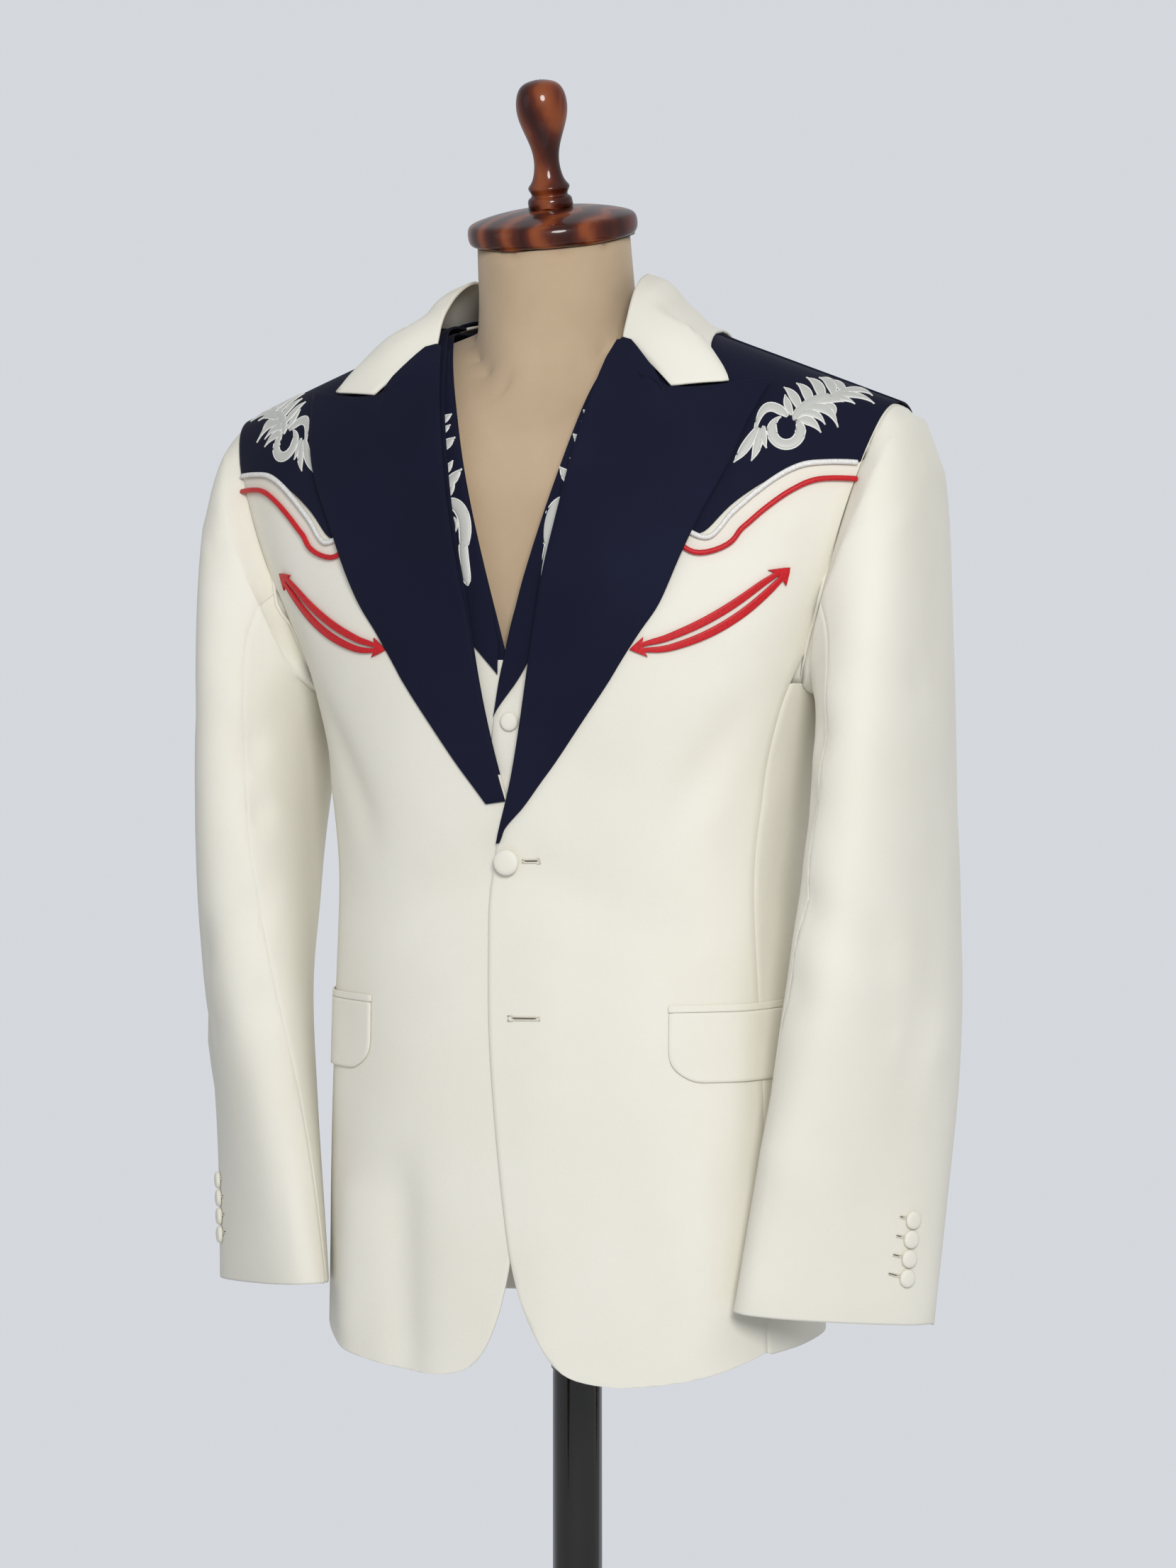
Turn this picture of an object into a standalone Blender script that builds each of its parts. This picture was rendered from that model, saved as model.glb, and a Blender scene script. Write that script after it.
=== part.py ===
# A western suit on a limbless dress form: jacket, waistcoat, form, pole and base.
# Metres, +Z up. The suit faces -Y, +X is the wearer's left, and the origin is on the floor under the pole.
import bisect
import math

import bmesh
import bpy
from mathutils import Vector

# Driving sizes of the jacket
HEM_SIDE = 0.757
ARMPIT = 1.215
ARMPIT_X = 0.1795
SHOULDER_X = 0.246
NECK_X = 0.078
NECK_Z = 1.470
SHOULDER_DROP = 0.385
RIDGE_Y = -0.020
RING_POWER = 2.6
CLOTH = 0.0017
SEAM = 0.0003
SEAM_TURN = 0.0010
BUTTON_X = 0.0
BUTTON_Z = 1.093

# How far each layer lies outside the jacket's inner face
FORM_OFF = -0.0062
VEST_OFF = -0.0046
VEST_CLOTH = 0.0012
OVERLAP_OFF = 0.0024
YOKE_OFF = 0.0024
BACK_YOKE_OFF = 0.0035
YOKE_CLOTH = 0.0012
YOKE_SHORT = 0.0012
LAPEL_OFF = 0.0024
LAPEL_LIFT = 0.0044
LAPEL_CLOTH = 0.0018
TRIM_OFF = 0.0025
PIPING_OFF = 0.0020
PIPINGS = (
    # name, how far below the yoke's edge, radius, where the front one starts at the lapel
    ("white", 0.0036, 0.0018, 0.1290),
    ("red", 0.0130, 0.0019, 0.1260),
)
PIPING_END = 0.2240

# The body's half width, and its depth in front of and behind Y 0, by height
BODY = (
    # height, half width, front, back
    (0.700, 0.1775, 0.130, 0.118),
    (0.800, 0.1755, 0.130, 0.121),
    (0.900, 0.1740, 0.130, 0.120),
    (1.000, 0.1690, 0.129, 0.116),
    (1.082, 0.1655, 0.127, 0.115),
    (1.150, 0.1730, 0.132, 0.121),
    (1.215, 0.1880, 0.138, 0.128),
    (1.300, 0.2270, 0.140, 0.132),
    (1.350, 0.2480, 0.140, 0.132),
    (1.415, 0.2700, 0.140, 0.130),
)

# Upper rows of a panel, as parts of the way from the armpit level to the shoulder ridge
RISE = (0.04, 0.09, 0.16, 0.25, 0.35, 0.46, 0.57, 0.68, 0.79, 0.88, 0.95, 0.9998)

IVORY = (0.86, 0.84, 0.76)
NAVY = (0.012, 0.014, 0.035)
RED = (0.62, 0.02, 0.03)
WHITE = (0.88, 0.87, 0.84)
LINEN = (0.50, 0.38, 0.25)
WOOD = (0.16, 0.03, 0.008)
BLACK = (0.010, 0.009, 0.008)


def clear_scene():
    for obj in list(bpy.data.objects):
        bpy.data.objects.remove(obj, do_unlink=True)


def material(name, color, roughness, metallic=0.0):
    made = bpy.data.materials.get(name)
    if made:
        return made
    made = bpy.data.materials.new(name)
    made.use_nodes = True
    shader = made.node_tree.nodes["Principled BSDF"]
    shader.inputs["Base Color"].default_value = (*color, 1.0)
    shader.inputs["Roughness"].default_value = roughness
    shader.inputs["Metallic"].default_value = metallic
    return made


def curve_value(rows, at, column):
    """A smooth value read from a table whose first column rises."""
    keys = [row[0] for row in rows]
    at = min(max(at, keys[0]), keys[-1])
    i = min(max(bisect.bisect_right(keys, at) - 1, 0), len(rows) - 2)
    step = keys[i + 1] - keys[i]
    u = (at - keys[i]) / step
    left = rows[max(i - 1, 0)]
    right = rows[min(i + 2, len(rows) - 1)]
    a, b = rows[i][column], rows[i + 1][column]
    slope_a = (b - left[column]) / (keys[i + 1] - left[0])
    slope_b = (right[column] - a) / (right[0] - keys[i])
    return (
        a * (2 * u**3 - 3 * u**2 + 1)
        + b * (3 * u**2 - 2 * u**3)
        + step * (slope_a * (u**3 - 2 * u**2 + u) + slope_b * (u**3 - u**2))
    )


def smoothstep(low, high, value):
    u = min(max((value - low) / (high - low), 0.0), 1.0)
    return u * u * (3 - 2 * u)


def shoulder_height(x):
    return NECK_Z - SHOULDER_DROP * (max(abs(x), 0.04) - NECK_X) * smoothstep(0.0, 0.12, abs(x))


def level_of(x, z):
    """A level is the height up to the armpit, and above it ARMPIT plus the turn to the shoulder ridge, 0 to 1."""
    if z <= ARMPIT:
        return z
    part = min((z - ARMPIT) / (shoulder_height(x) - ARMPIT), 1.0)
    return ARMPIT + math.asin(part ** (RING_POWER / 2)) * 2 / math.pi


def ring_width(level):
    if level <= ARMPIT:
        return curve_value(BODY, level, 1)
    part = math.sin((level - ARMPIT) * math.pi / 2) ** (2 / RING_POWER)
    return curve_value(BODY, ARMPIT + part * (BODY[-1][0] - ARMPIT), 1)


def angle_of(x, level):
    """The angle round the body of a point in front at this x: 0 is the centre front, pi the centre back."""
    part = min(abs(x) / ring_width(level), 1.0)
    return math.copysign(math.asin(part ** (RING_POWER / 2)), x)


def base_point(angle, level):
    """A point of the jacket's inner face."""
    power = 2 / RING_POWER
    across = abs(math.sin(angle)) ** power
    along = abs(math.cos(angle)) ** power
    x = math.copysign(across * ring_width(level), math.sin(angle))
    front = math.cos(angle) > 0
    if level <= ARMPIT:
        depth = curve_value(BODY, level, 2 if front else 3)
        return Vector((x, -depth * along if front else depth * along, level))
    turn = (level - ARMPIT) * math.pi / 2
    part = math.sin(turn) ** power
    close = max(math.cos(turn), 0.0) ** power
    centre = RIDGE_Y * part
    depth = curve_value(BODY, ARMPIT + part * (BODY[-1][0] - ARMPIT), 2 if front else 3)
    y = centre - (depth + centre) * along * close if front else centre + (depth - centre) * along * close
    z = ARMPIT + part * (shoulder_height(x) - ARMPIT)
    return Vector((x, y, z))


def surface(angle, level, off):
    """A point of the body's surface, moved out by off."""
    step = 0.004
    low = level - step
    high = min(level + step, ARMPIT + 1 - 0.0005)
    low = min(low, high - step)
    up = base_point(angle, high) - base_point(angle, low)
    turn = 0.01
    around = base_point(angle + turn, level) - base_point(angle - turn, level)
    normal = around.cross(up)
    if normal.length < 1e-12:
        normal = Vector((0, 0, 1))
    normal.normalize()
    return base_point(angle, level) + normal * off


def front_spot(x, z):
    level = level_of(x, z)
    return angle_of(x, level), level


def back_spot(x, z):
    level = level_of(x, z)
    return math.copysign(math.pi, x) - angle_of(x, level), level


def new_object(name, verts, faces, mat):
    mesh = bpy.data.meshes.new(name)
    mesh.from_pydata([tuple(v) for v in verts], [], faces)
    work = bmesh.new()
    work.from_mesh(mesh)
    bmesh.ops.recalc_face_normals(work, faces=work.faces)
    if work.calc_volume(signed=True) < 0:
        bmesh.ops.reverse_faces(work, faces=work.faces)
    work.to_mesh(mesh)
    work.free()
    mesh.shade_smooth()
    mesh.set_sharp_from_angle(angle=math.radians(40))
    obj = bpy.data.objects.new(name, mesh)
    obj.data.materials.append(mat)
    bpy.context.scene.collection.objects.link(obj)
    return obj


def wall(name, inner, outer, faces, mat):
    """A closed wall between two sheets with the same faces, its rim closed along the open edges."""
    count = len(inner)
    edges = {}
    for face in faces:
        for a, b in zip(face, face[1:] + face[:1]):
            edges[(a, b)] = True
    rim = [(a, b) for a, b in edges if (b, a) not in edges]
    solid = [tuple(face) for face in faces]
    solid += [tuple(count + i for i in face[:1] + face[:0:-1]) for face in faces]
    solid += [(b, a, count + a, count + b) for a, b in rim]
    return new_object(name, list(inner) + list(outer), solid, mat)


def grid_faces(rows, columns):
    return [
        (r * columns + c, r * columns + c + 1, (r + 1) * columns + c + 1, (r + 1) * columns + c)
        for r in range(rows - 1)
        for c in range(columns - 1)
    ]


def panel(name, spots, offset, cloth, mat):
    """A wall over a grid of (angle, level) spots. The offset is a number or a function of the spot's x and z."""
    inner = []
    outer = []
    for row in spots:
        for angle, level in row:
            here = base_point(angle, level)
            off = offset(here) if callable(offset) else offset
            inner.append(surface(angle, level, off))
            outer.append(surface(angle, level, off + cloth))
    return wall(name, inner, outer, grid_faces(len(spots), len(spots[0])), mat)


def blend(a, b, part):
    return a + (b - a) * part


def turn_between(first, last, part):
    """An angle between two others, so that even parts give even steps along the cloth."""
    power = 2 / RING_POWER
    first, last = (math.copysign(abs(a) ** power, a) for a in (first, last))
    now = blend(first, last, part)
    return math.copysign(abs(now) ** (1 / power), now)


def armhole_x(level):
    """Where the armhole lies, from the armpit level to the shoulder point."""
    part = math.sin((level - ARMPIT) * math.pi / 2) ** (2 / RING_POWER)
    return ARMPIT_X + (SHOULDER_X - ARMPIT_X) * part ** 0.85


# The side seams, as angles round the body by height
SEAMS = (
    # height, front seam, back seam
    (0.700, 1.150, 2.000),
    (0.900, 1.150, 2.020),
    (1.082, 1.130, 2.080),
    (1.150, 1.160, 2.060),
    (1.215, 1.215, 1.980),
)

# The left front's edge from the neck to the round hem corner
FRONT_EDGE = (
    # height, x of the left front, x of the right front
    (0.737, 0.078, 0.064),
    (0.739, 0.056, 0.044),
    (0.749, 0.035, 0.024),
    (0.774, 0.019, 0.010),
    (0.805, 0.007, 0.001),
    (0.860, -0.0025, -0.007),
    (0.930, -0.0095, -0.0105),
    (1.000, -0.0135, -0.0125),
    (1.080, -0.0125, -0.012),
    (1.104, -0.0085, -0.0085),
    (1.148, 0.004, 0.004),
    (1.200, 0.015, 0.015),
    (1.270, 0.027, 0.027),
    (1.330, 0.040, 0.040),
    (1.390, 0.052, 0.052),
    (1.448, 0.0655, 0.0655),
    (1.470, NECK_X, NECK_X),
)

# The lapel's outer edge, beside the same heights of its roll line
LAPEL = (
    # height on the roll line, outer x, outer height
    (1.106, -0.0055, 1.1062),
    (1.118, -0.0005, 1.1165),
    (1.135, 0.0150, 1.1330),
    (1.160, 0.0380, 1.1630),
    (1.195, 0.0730, 1.2130),
    (1.230, 0.0900, 1.2400),
    (1.265, 0.1100, 1.2700),
    (1.305, 0.1310, 1.3180),
    (1.345, 0.1520, 1.3620),
    (1.385, 0.1700, 1.4180),
    (1.430, 0.1068, 1.4088),
    (1.446, 0.0690, 1.4470),
)

# The front yoke's lower edge, from the lapel to the armhole
YOKE_EDGE = (
    # x, height
    (0.085, 1.331),
    (0.110, 1.3270),
    (0.127, 1.3215),
    (0.141, 1.3160),
    (0.152, 1.3275),
    (0.168, 1.3430),
    (0.186, 1.3570),
    (0.205, 1.3660),
    (0.235, 1.3665),
)

# The back yoke's lower edge, from the centre back to the armhole
BACK_YOKE_EDGE = (
    # x, height
    (0.000, 1.285),
    (0.020, 1.298),
    (0.050, 1.314),
    (0.090, 1.322),
    (0.130, 1.331),
    (0.170, 1.352),
    (0.205, 1.365),
    (0.235, 1.368),
)


def left_lift(point):
    """The left front laps over the right one near the centre front."""
    return OVERLAP_OFF * (1 - smoothstep(0.018, 0.060, point.x))


def front_rows():
    """Heights of a front's rows below the armpit."""
    return (
        0.737, 0.739, 0.749, 0.774, 0.805, 0.850, 0.920, 0.985, 1.040, 1.085, 1.130, 1.175, ARMPIT,
    )


FRONT_COLUMNS = (0.0, 0.06, 0.13, 0.23, 0.35, 0.48, 0.61, 0.74, 0.87, 1.0)


def jacket_front(name, side, mat):
    edge_column = 1 if side > 0 else 2
    spots = []
    for z in front_rows():
        x_in = curve_value(FRONT_EDGE, z, edge_column)
        z_out = blend(HEM_SIDE, ARMPIT, ((z - 0.737) / (ARMPIT - 0.737)))
        inner = angle_of(x_in, z)
        outer = curve_value(SEAMS, z_out, 1) - SEAM_TURN
        spots.append(
            [(side * turn_between(inner, outer, part), blend(z, z_out, part**1.6)) for part in FRONT_COLUMNS]
        )
    for rise in RISE:
        level = ARMPIT + rise
        z_in = ARMPIT + math.sin(rise * math.pi / 2) ** (2 / RING_POWER) * (NECK_Z - ARMPIT)
        x_in = curve_value(FRONT_EDGE, z_in, edge_column)
        x_out = armhole_x(level) - SEAM
        spots.append([(side * angle_of(blend(x_in, x_out, part), level), level) for part in FRONT_COLUMNS])
    lift = left_lift if side > 0 else 0.0
    return panel(name, spots, lift, CLOTH, mat)


def hem_rows():
    return (0.0, 0.16, 0.32, 0.48, 0.62, 0.72, 0.82, 0.91, 1.0)


def jacket_side(name, side, mat):
    columns = 6
    spots = []
    for part in hem_rows():
        z = blend(HEM_SIDE, ARMPIT - 0.0005, part)
        low = curve_value(SEAMS, z, 1) + SEAM_TURN
        high = curve_value(SEAMS, z, 2) - SEAM_TURN
        spots.append([(side * blend(low, high, c / (columns - 1)), z) for c in range(columns)])
    return panel(name, spots, 0.0, CLOTH, mat)


NECKLINE_TURN = 0.78


def back_top(x):
    """How near the ridge the back's top edge lies: at the shoulder seam, or lower along the neckline."""
    return blend(NECKLINE_TURN, RISE[-1], smoothstep(0.0, NECK_X, abs(x)))


def jacket_back(name, side, mat):
    columns = 8
    spots = []
    for part in hem_rows():
        z = blend(HEM_SIDE, ARMPIT, part)
        low = curve_value(SEAMS, z, 2) + SEAM_TURN
        high = math.pi - angle_of(2 * SEAM, z)
        spots.append([(side * blend(low, high, c / (columns - 1)), z) for c in range(columns)])
    for rise in RISE:
        row = []
        for c in range(columns):
            part = 1 - c / (columns - 1)
            x = blend(2 * SEAM, armhole_x(ARMPIT + rise) - SEAM, part)
            level = ARMPIT + rise * back_top(x) / RISE[-1]
            row.append((side * (math.pi - angle_of(x, level)), level))
        spots.append(row)
    return panel(name, spots, 0.0, CLOTH, mat)


# Where a front yoke starts beside the lapel, and where both yokes' lower edges end at the armhole
YOKE_START_X = 0.087
YOKE_END_X = 0.2265

# A yoke's rows: the share of the way from its lower edge up to a row of the panel below it
YOKE_ROWS = ((0.0, RISE[6]), (0.3, RISE[6]), (0.65, RISE[6])) + tuple((1.0, rise) for rise in RISE[6:])


def yoke_front(name, side, mat):
    columns = 13
    spots = []
    for share, rise in YOKE_ROWS:
        row = []
        for c in range(columns):
            part = c / (columns - 1)
            x_low = blend(YOKE_EDGE[0][0], YOKE_END_X, part)
            low = level_of(x_low, curve_value(YOKE_EDGE, x_low, 1))
            level = blend(low, ARMPIT + rise, share)
            x = blend(YOKE_START_X, armhole_x(level) - YOKE_SHORT, part)
            row.append((side * angle_of(x, level), level))
        spots.append(row)
    return panel(name, spots, YOKE_OFF, YOKE_CLOTH, mat)


def yoke_back(name, mat):
    columns = 21
    spots = []
    for share, rise in YOKE_ROWS:
        row = []
        for c in range(columns):
            part = abs(c / (columns - 1) * 2 - 1)
            side = 1 if c * 2 >= columns - 1 else -1
            x_low = YOKE_END_X * part
            low = level_of(x_low, curve_value(BACK_YOKE_EDGE, x_low, 1))
            top = ARMPIT + rise * back_top(SHOULDER_X * part)
            level = blend(low, top, share)
            x = part * (armhole_x(level) - YOKE_SHORT)
            row.append((side * (math.pi - angle_of(x, level)), level))
        spots.append(row)
    return panel(name, spots, BACK_YOKE_OFF, YOKE_CLOTH, mat)


def lapel(name, side, mat):
    columns, per_row = 8, 2
    start = 0 if side > 0 else 2
    table = LAPEL[start:]
    spots = []
    for i in range((len(table) - 1) * per_row + 1):
        at = i / per_row
        low = min(int(at), len(table) - 2)
        part = at - low
        z_in, x_out, z_out = (blend(table[low][k], table[low + 1][k], part) for k in range(3))
        x_in = curve_value(FRONT_EDGE, z_in, 1) + 0.0004
        row = []
        for c in range(columns):
            across = c / (columns - 1)
            x, z = blend(x_in, x_out, across), blend(z_in, z_out, across)
            angle, level = front_spot(x, z)
            row.append((side * angle, level))
        spots.append(row)

    def lift(point):
        over_yoke = LAPEL_LIFT * smoothstep(1.255, 1.300, point.z)
        return LAPEL_OFF + over_yoke + (left_lift(point) if side > 0 else 0.0)

    return panel(name, spots, lift, LAPEL_CLOTH, mat)


def cord(name, path, radius, mat, sides=5):
    """A round cord laid along (angle, level) spots of the surface, its ends closed."""
    centres = [surface(angle, level, PIPING_OFF + radius) for angle, level in path]
    outs = [
        (surface(angle, level, 0.01) - surface(angle, level, 0.0)).normalized() for angle, level in path
    ]
    verts = []
    for i, centre in enumerate(centres):
        along = (centres[min(i + 1, len(centres) - 1)] - centres[max(i - 1, 0)]).normalized()
        out = outs[i]
        across = out.cross(along).normalized()
        for s in range(sides):
            turn = 2 * math.pi * (s + 0.5) / sides
            verts.append(centre + (out * math.sin(turn) + across * math.cos(turn)) * radius)
    faces = []
    for i in range(len(centres) - 1):
        for s in range(sides):
            a, b = i * sides + s, i * sides + (s + 1) % sides
            faces.append((a, b, b + sides, a + sides))
    faces.append(tuple(range(sides)))
    last = (len(centres) - 1) * sides
    faces.append(tuple(last + s for s in range(sides)))
    return new_object(name, verts, faces, mat)


def edge_path(rows, start, stop, down, spot, count=17):
    """Spots along a yoke's edge, moved down square to it."""
    path = []
    for i in range(count):
        x = blend(start, stop, i / (count - 1))
        step = 0.002
        slope = (edge_height(rows, x + step) - edge_height(rows, x - step)) / (2 * step)
        length = math.hypot(1, slope)
        path.append(spot(x + down * slope / length, edge_height(rows, x) - down / length))
    return path


def edge_height(rows, x):
    return curve_value(rows, abs(x), 1)


def mirrored(path, side):
    return [(side * angle, level) for angle, level in path]


# The collar: its fold line, the bottom of its stand and the edge of its leaf, from the gorge to the centre back
COLLAR = (
    # fold x, fold y, fold z, leaf x, leaf height, leaf lies behind (1), in front (0) or on the ridge (2)
    (0.0700, -0.091, 1.4520, 0.1090, 1.4135, 0),
    (0.0700, -0.085, 1.4640, 0.1260, 1.4150, 0),
    (0.0695, -0.077, 1.4760, 0.1440, 1.4165, 0),
    (0.0680, -0.064, 1.4880, 0.1340, 1.4290, 0),
    (0.0665, -0.048, 1.4970, 0.1240, 1.4400, 0),
    (0.0655, -0.030, 1.5020, 0.1130, 1.4540, 2),
    (0.0630, -0.010, 1.5040, 0.1050, 1.4560, 1),
    (0.0555, 0.009, 1.5030, 0.0930, 1.4545, 1),
    (0.0420, 0.024, 1.5000, 0.0700, 1.4520, 1),
    (0.0230, 0.033, 1.4980, 0.0390, 1.4495, 1),
    (0.0000, 0.036, 1.4970, 0.0000, 1.4485, 1),
)
COLLAR_OFF = 0.0082
COLLAR_CLOTH = 0.0020
COLLAR_SWELL = 0.0060
COLLAR_GORGE_SWELL = 0.0010


def collar(name, mat):
    """A band that stands round the neck and falls over the yokes, one wall from gorge to gorge."""
    rows = []
    for side, table in ((-1, COLLAR), (1, tuple(reversed(COLLAR[:-1])))):
        for fold_x, fold_y, fold_z, leaf_x, leaf_z, place in table:
            swell = COLLAR_SWELL if (fold_x, fold_y) != COLLAR[0][:2] else COLLAR_GORGE_SWELL
            if place == 0:
                leaf = surface(*front_spot(leaf_x, leaf_z), COLLAR_OFF)
            elif place == 1:
                leaf = surface(*back_spot(leaf_x, leaf_z), COLLAR_OFF)
            else:
                leaf = surface(angle_of(leaf_x, ARMPIT + 0.99), ARMPIT + 0.99, COLLAR_OFF)
            fold = Vector((fold_x, fold_y, fold_z))
            out = Vector((leaf.x - fold.x, leaf.y - fold.y, 0)).normalized()
            row = [fold]
            for part in (0.12, 0.34, 0.58, 0.82, 1.0):
                point = fold.lerp(leaf, part)
                point += out * swell / 2 * math.sin(math.pi * part)
                point.z += swell * math.sin(math.pi * part)
                row.append(point)
            rows.append([Vector((side * p.x, p.y, p.z)) for p in row])
    columns = len(rows[0])
    inner = [p for row in rows for p in row]
    outer = []
    for r, row in enumerate(rows):
        for c, point in enumerate(row):
            along = rows[min(r + 1, len(rows) - 1)][c] - rows[max(r - 1, 0)][c]
            across = row[min(c + 1, columns - 1)] - row[max(c - 1, 0)]
            normal = across.cross(along).normalized()
            if normal.z < 0:
                normal.negate()
            outer.append(point + normal * COLLAR_CLOTH)
    return wall(name, inner, outer, grid_faces(len(rows), columns), mat)


# The sleeve below its head: centre, heights of its outer and inner edge, half depths, toe-in and rise in front
SLEEVE = (
    # centre x, centre y, outer height, inner height, half depth fore and aft, half depth across, toe-in, rise
    (0.2245, -0.012, 1.397, 1.203, 0.0800, 0.0330, 0.00, 0.0),
    (0.2310, -0.016, 1.375, 1.186, 0.0805, 0.0350, 0.00, 0.0),
    (0.2345, -0.020, 1.335, 1.165, 0.0805, 0.0370, 0.02, 0.0),
    (0.2360, -0.025, 1.280, 1.140, 0.0800, 0.0380, 0.05, 0.0),
    (0.2370, -0.029, 1.220, 1.112, 0.0790, 0.0385, 0.10, 0.0),
    (0.2372, -0.034, 1.150, 1.082, 0.0785, 0.0390, 0.16, 0.0),
    (0.2365, -0.038, 1.080, 1.045, 0.0770, 0.0400, 0.26, 0.0),
    (0.2345, -0.042, 1.006, 1.000, 0.0755, 0.0385, 0.41, 0.001),
    (0.2290, -0.044, 0.935, 0.935, 0.0740, 0.0345, 0.58, 0.002),
    (0.2205, -0.052, 0.860, 0.860, 0.0720, 0.0290, 0.75, 0.004),
    (0.2125, -0.062, 0.785, 0.785, 0.0710, 0.0240, 0.88, 0.007),
)
SLEEVE_CLOTH = 0.0016
HEAD_GAP = 0.0015
FRONT_TURN = 2.35
BACK_TURN = 3.95


def armhole_point(turn):
    """A point round the armhole: turn 0 is the shoulder point, pi / 2 in front, pi at the armpit."""
    if turn <= FRONT_TURN or turn >= BACK_TURN:
        front = turn <= FRONT_TURN
        part = turn / FRONT_TURN if front else (2 * math.pi - turn) / (2 * math.pi - BACK_TURN)
        level = ARMPIT + RISE[-1] * (1 - part) ** 1.15
        x = armhole_x(level)
        angle = angle_of(x, level) if front else math.pi - angle_of(x, level)
        return surface(angle, level, CLOTH / 2)
    part = (turn - FRONT_TURN) / (BACK_TURN - FRONT_TURN)
    low = angle_of(armhole_x(ARMPIT), ARMPIT)
    return surface(blend(low, math.pi - low, part), ARMPIT - 0.001, CLOTH / 2)


def sleeve_point(row, turn, off):
    """A point of the sleeve's middle surface, moved out by off. Row 0 is the armhole, 1 and up follow the table."""
    at = min(max(row - 1, 0), len(SLEEVE) - 1)
    keyed = [(i, *values) for i, values in enumerate(SLEEVE)]
    cx, cy, z_out, z_in, fore, across, toe, rise = (curve_value(keyed, at, k) for k in range(1, 9))
    power = 2 / 2.3
    out = math.copysign(abs(math.cos(turn)) ** power, math.cos(turn))
    ahead = math.copysign(abs(math.sin(turn)) ** power, math.sin(turn))
    height = blend(z_in, z_out, (1 + math.cos(turn)) / 2) + rise * ahead
    side = (across + off) * out
    along = (fore + off) * ahead
    x = cx + side * math.cos(toe) - along * math.sin(toe)
    y = cy - side * math.sin(toe) - along * math.cos(toe)
    point = Vector((x, y, height))
    if row < 1:
        head = armhole_point(turn) + Vector((HEAD_GAP, 0, 0))
        middle = Vector((cx, RIDGE_Y, ARMPIT + 0.09))
        spread = Vector((0, head.y - middle.y, head.z - middle.z)).normalized()
        head += spread * (off - 0.001)
        point = head.lerp(point, smoothstep(-0.6, 1.0, row) if row > 0 else 0.0)
    return point


def sleeve_rows():
    """Rows down the sleeve, closer at its head."""
    return [0, 0.5] + list(range(1, len(SLEEVE) + 1))


def sleeve_piece(name, side, first, last, steps, mat):
    turns = [blend(first, last, i / steps) for i in range(steps + 1)]
    inner = []
    outer = []
    for row in reversed(sleeve_rows()):
        for turn in turns:
            for sheet, off in ((inner, 0.0), (outer, SLEEVE_CLOTH)):
                point = sleeve_point(row, turn % (2 * math.pi), off)
                sheet.append(Vector((side * point.x, point.y, point.z)))
    return wall(name, inner, outer, grid_faces(len(sleeve_rows()), len(turns)), mat)


# Sleeve seams, as turns round the sleeve
FORE_SEAM = 1.90
HIND_SEAM = 2 * math.pi - 1.75
SLEEVE_SEAM = 0.0045


def disc(name, centre, normal, radius, height, mat, steps=14):
    """A covered button: a low dome on a flat back."""
    normal = normal.normalized()
    across = normal.cross(Vector((0, 0, 1))).normalized()
    up = across.cross(normal)
    profile = ((0.86, 0.0), (1.0, 0.28), (0.96, 0.62), (0.72, 0.90))
    verts = []
    for reach, lift in profile:
        for s in range(steps):
            turn = 2 * math.pi * s / steps
            flat = across * math.cos(turn) + up * math.sin(turn)
            verts.append(centre + flat * radius * reach + normal * height * lift)
    verts.append(centre + normal * height)
    faces = [tuple(range(steps))]
    for ring in range(len(profile) - 1):
        for s in range(steps):
            a, b = ring * steps + s, ring * steps + (s + 1) % steps
            faces.append((a, b, b + steps, a + steps))
    top = (len(profile) - 1) * steps
    faces += [(top + s, top + (s + 1) % steps, len(verts) - 1) for s in range(steps)]
    return new_object(name, verts, faces, mat)


def front_disc(name, x, z, off, radius, height, mat):
    spot = front_spot(x, z)
    normal = surface(*spot, 0.01) - surface(*spot, 0.0)
    return disc(name, surface(*spot, off), normal, radius, height, mat)


# The crescent chest pocket: two red welts that part in the middle and meet in an arrowhead at each end
POCKET = (
    # part of the way, x, height of the middle line
    (0.00, 0.0990, 1.2400),
    (0.20, 0.1150, 1.2430),
    (0.45, 0.1380, 1.2530),
    (0.70, 0.1590, 1.2670),
    (1.00, 0.1825, 1.2880),
)
WELT_GAP = 0.0032
WELT_GAP_END = 0.0010
WELT_WIDE = 0.0050
WELT_END = 0.0028
WELT_CLOTH = 0.0016
ARROW_BACK = 0.0012
ARROW_LONG = 0.0090
ARROW_WIDE = 0.0135


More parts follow.
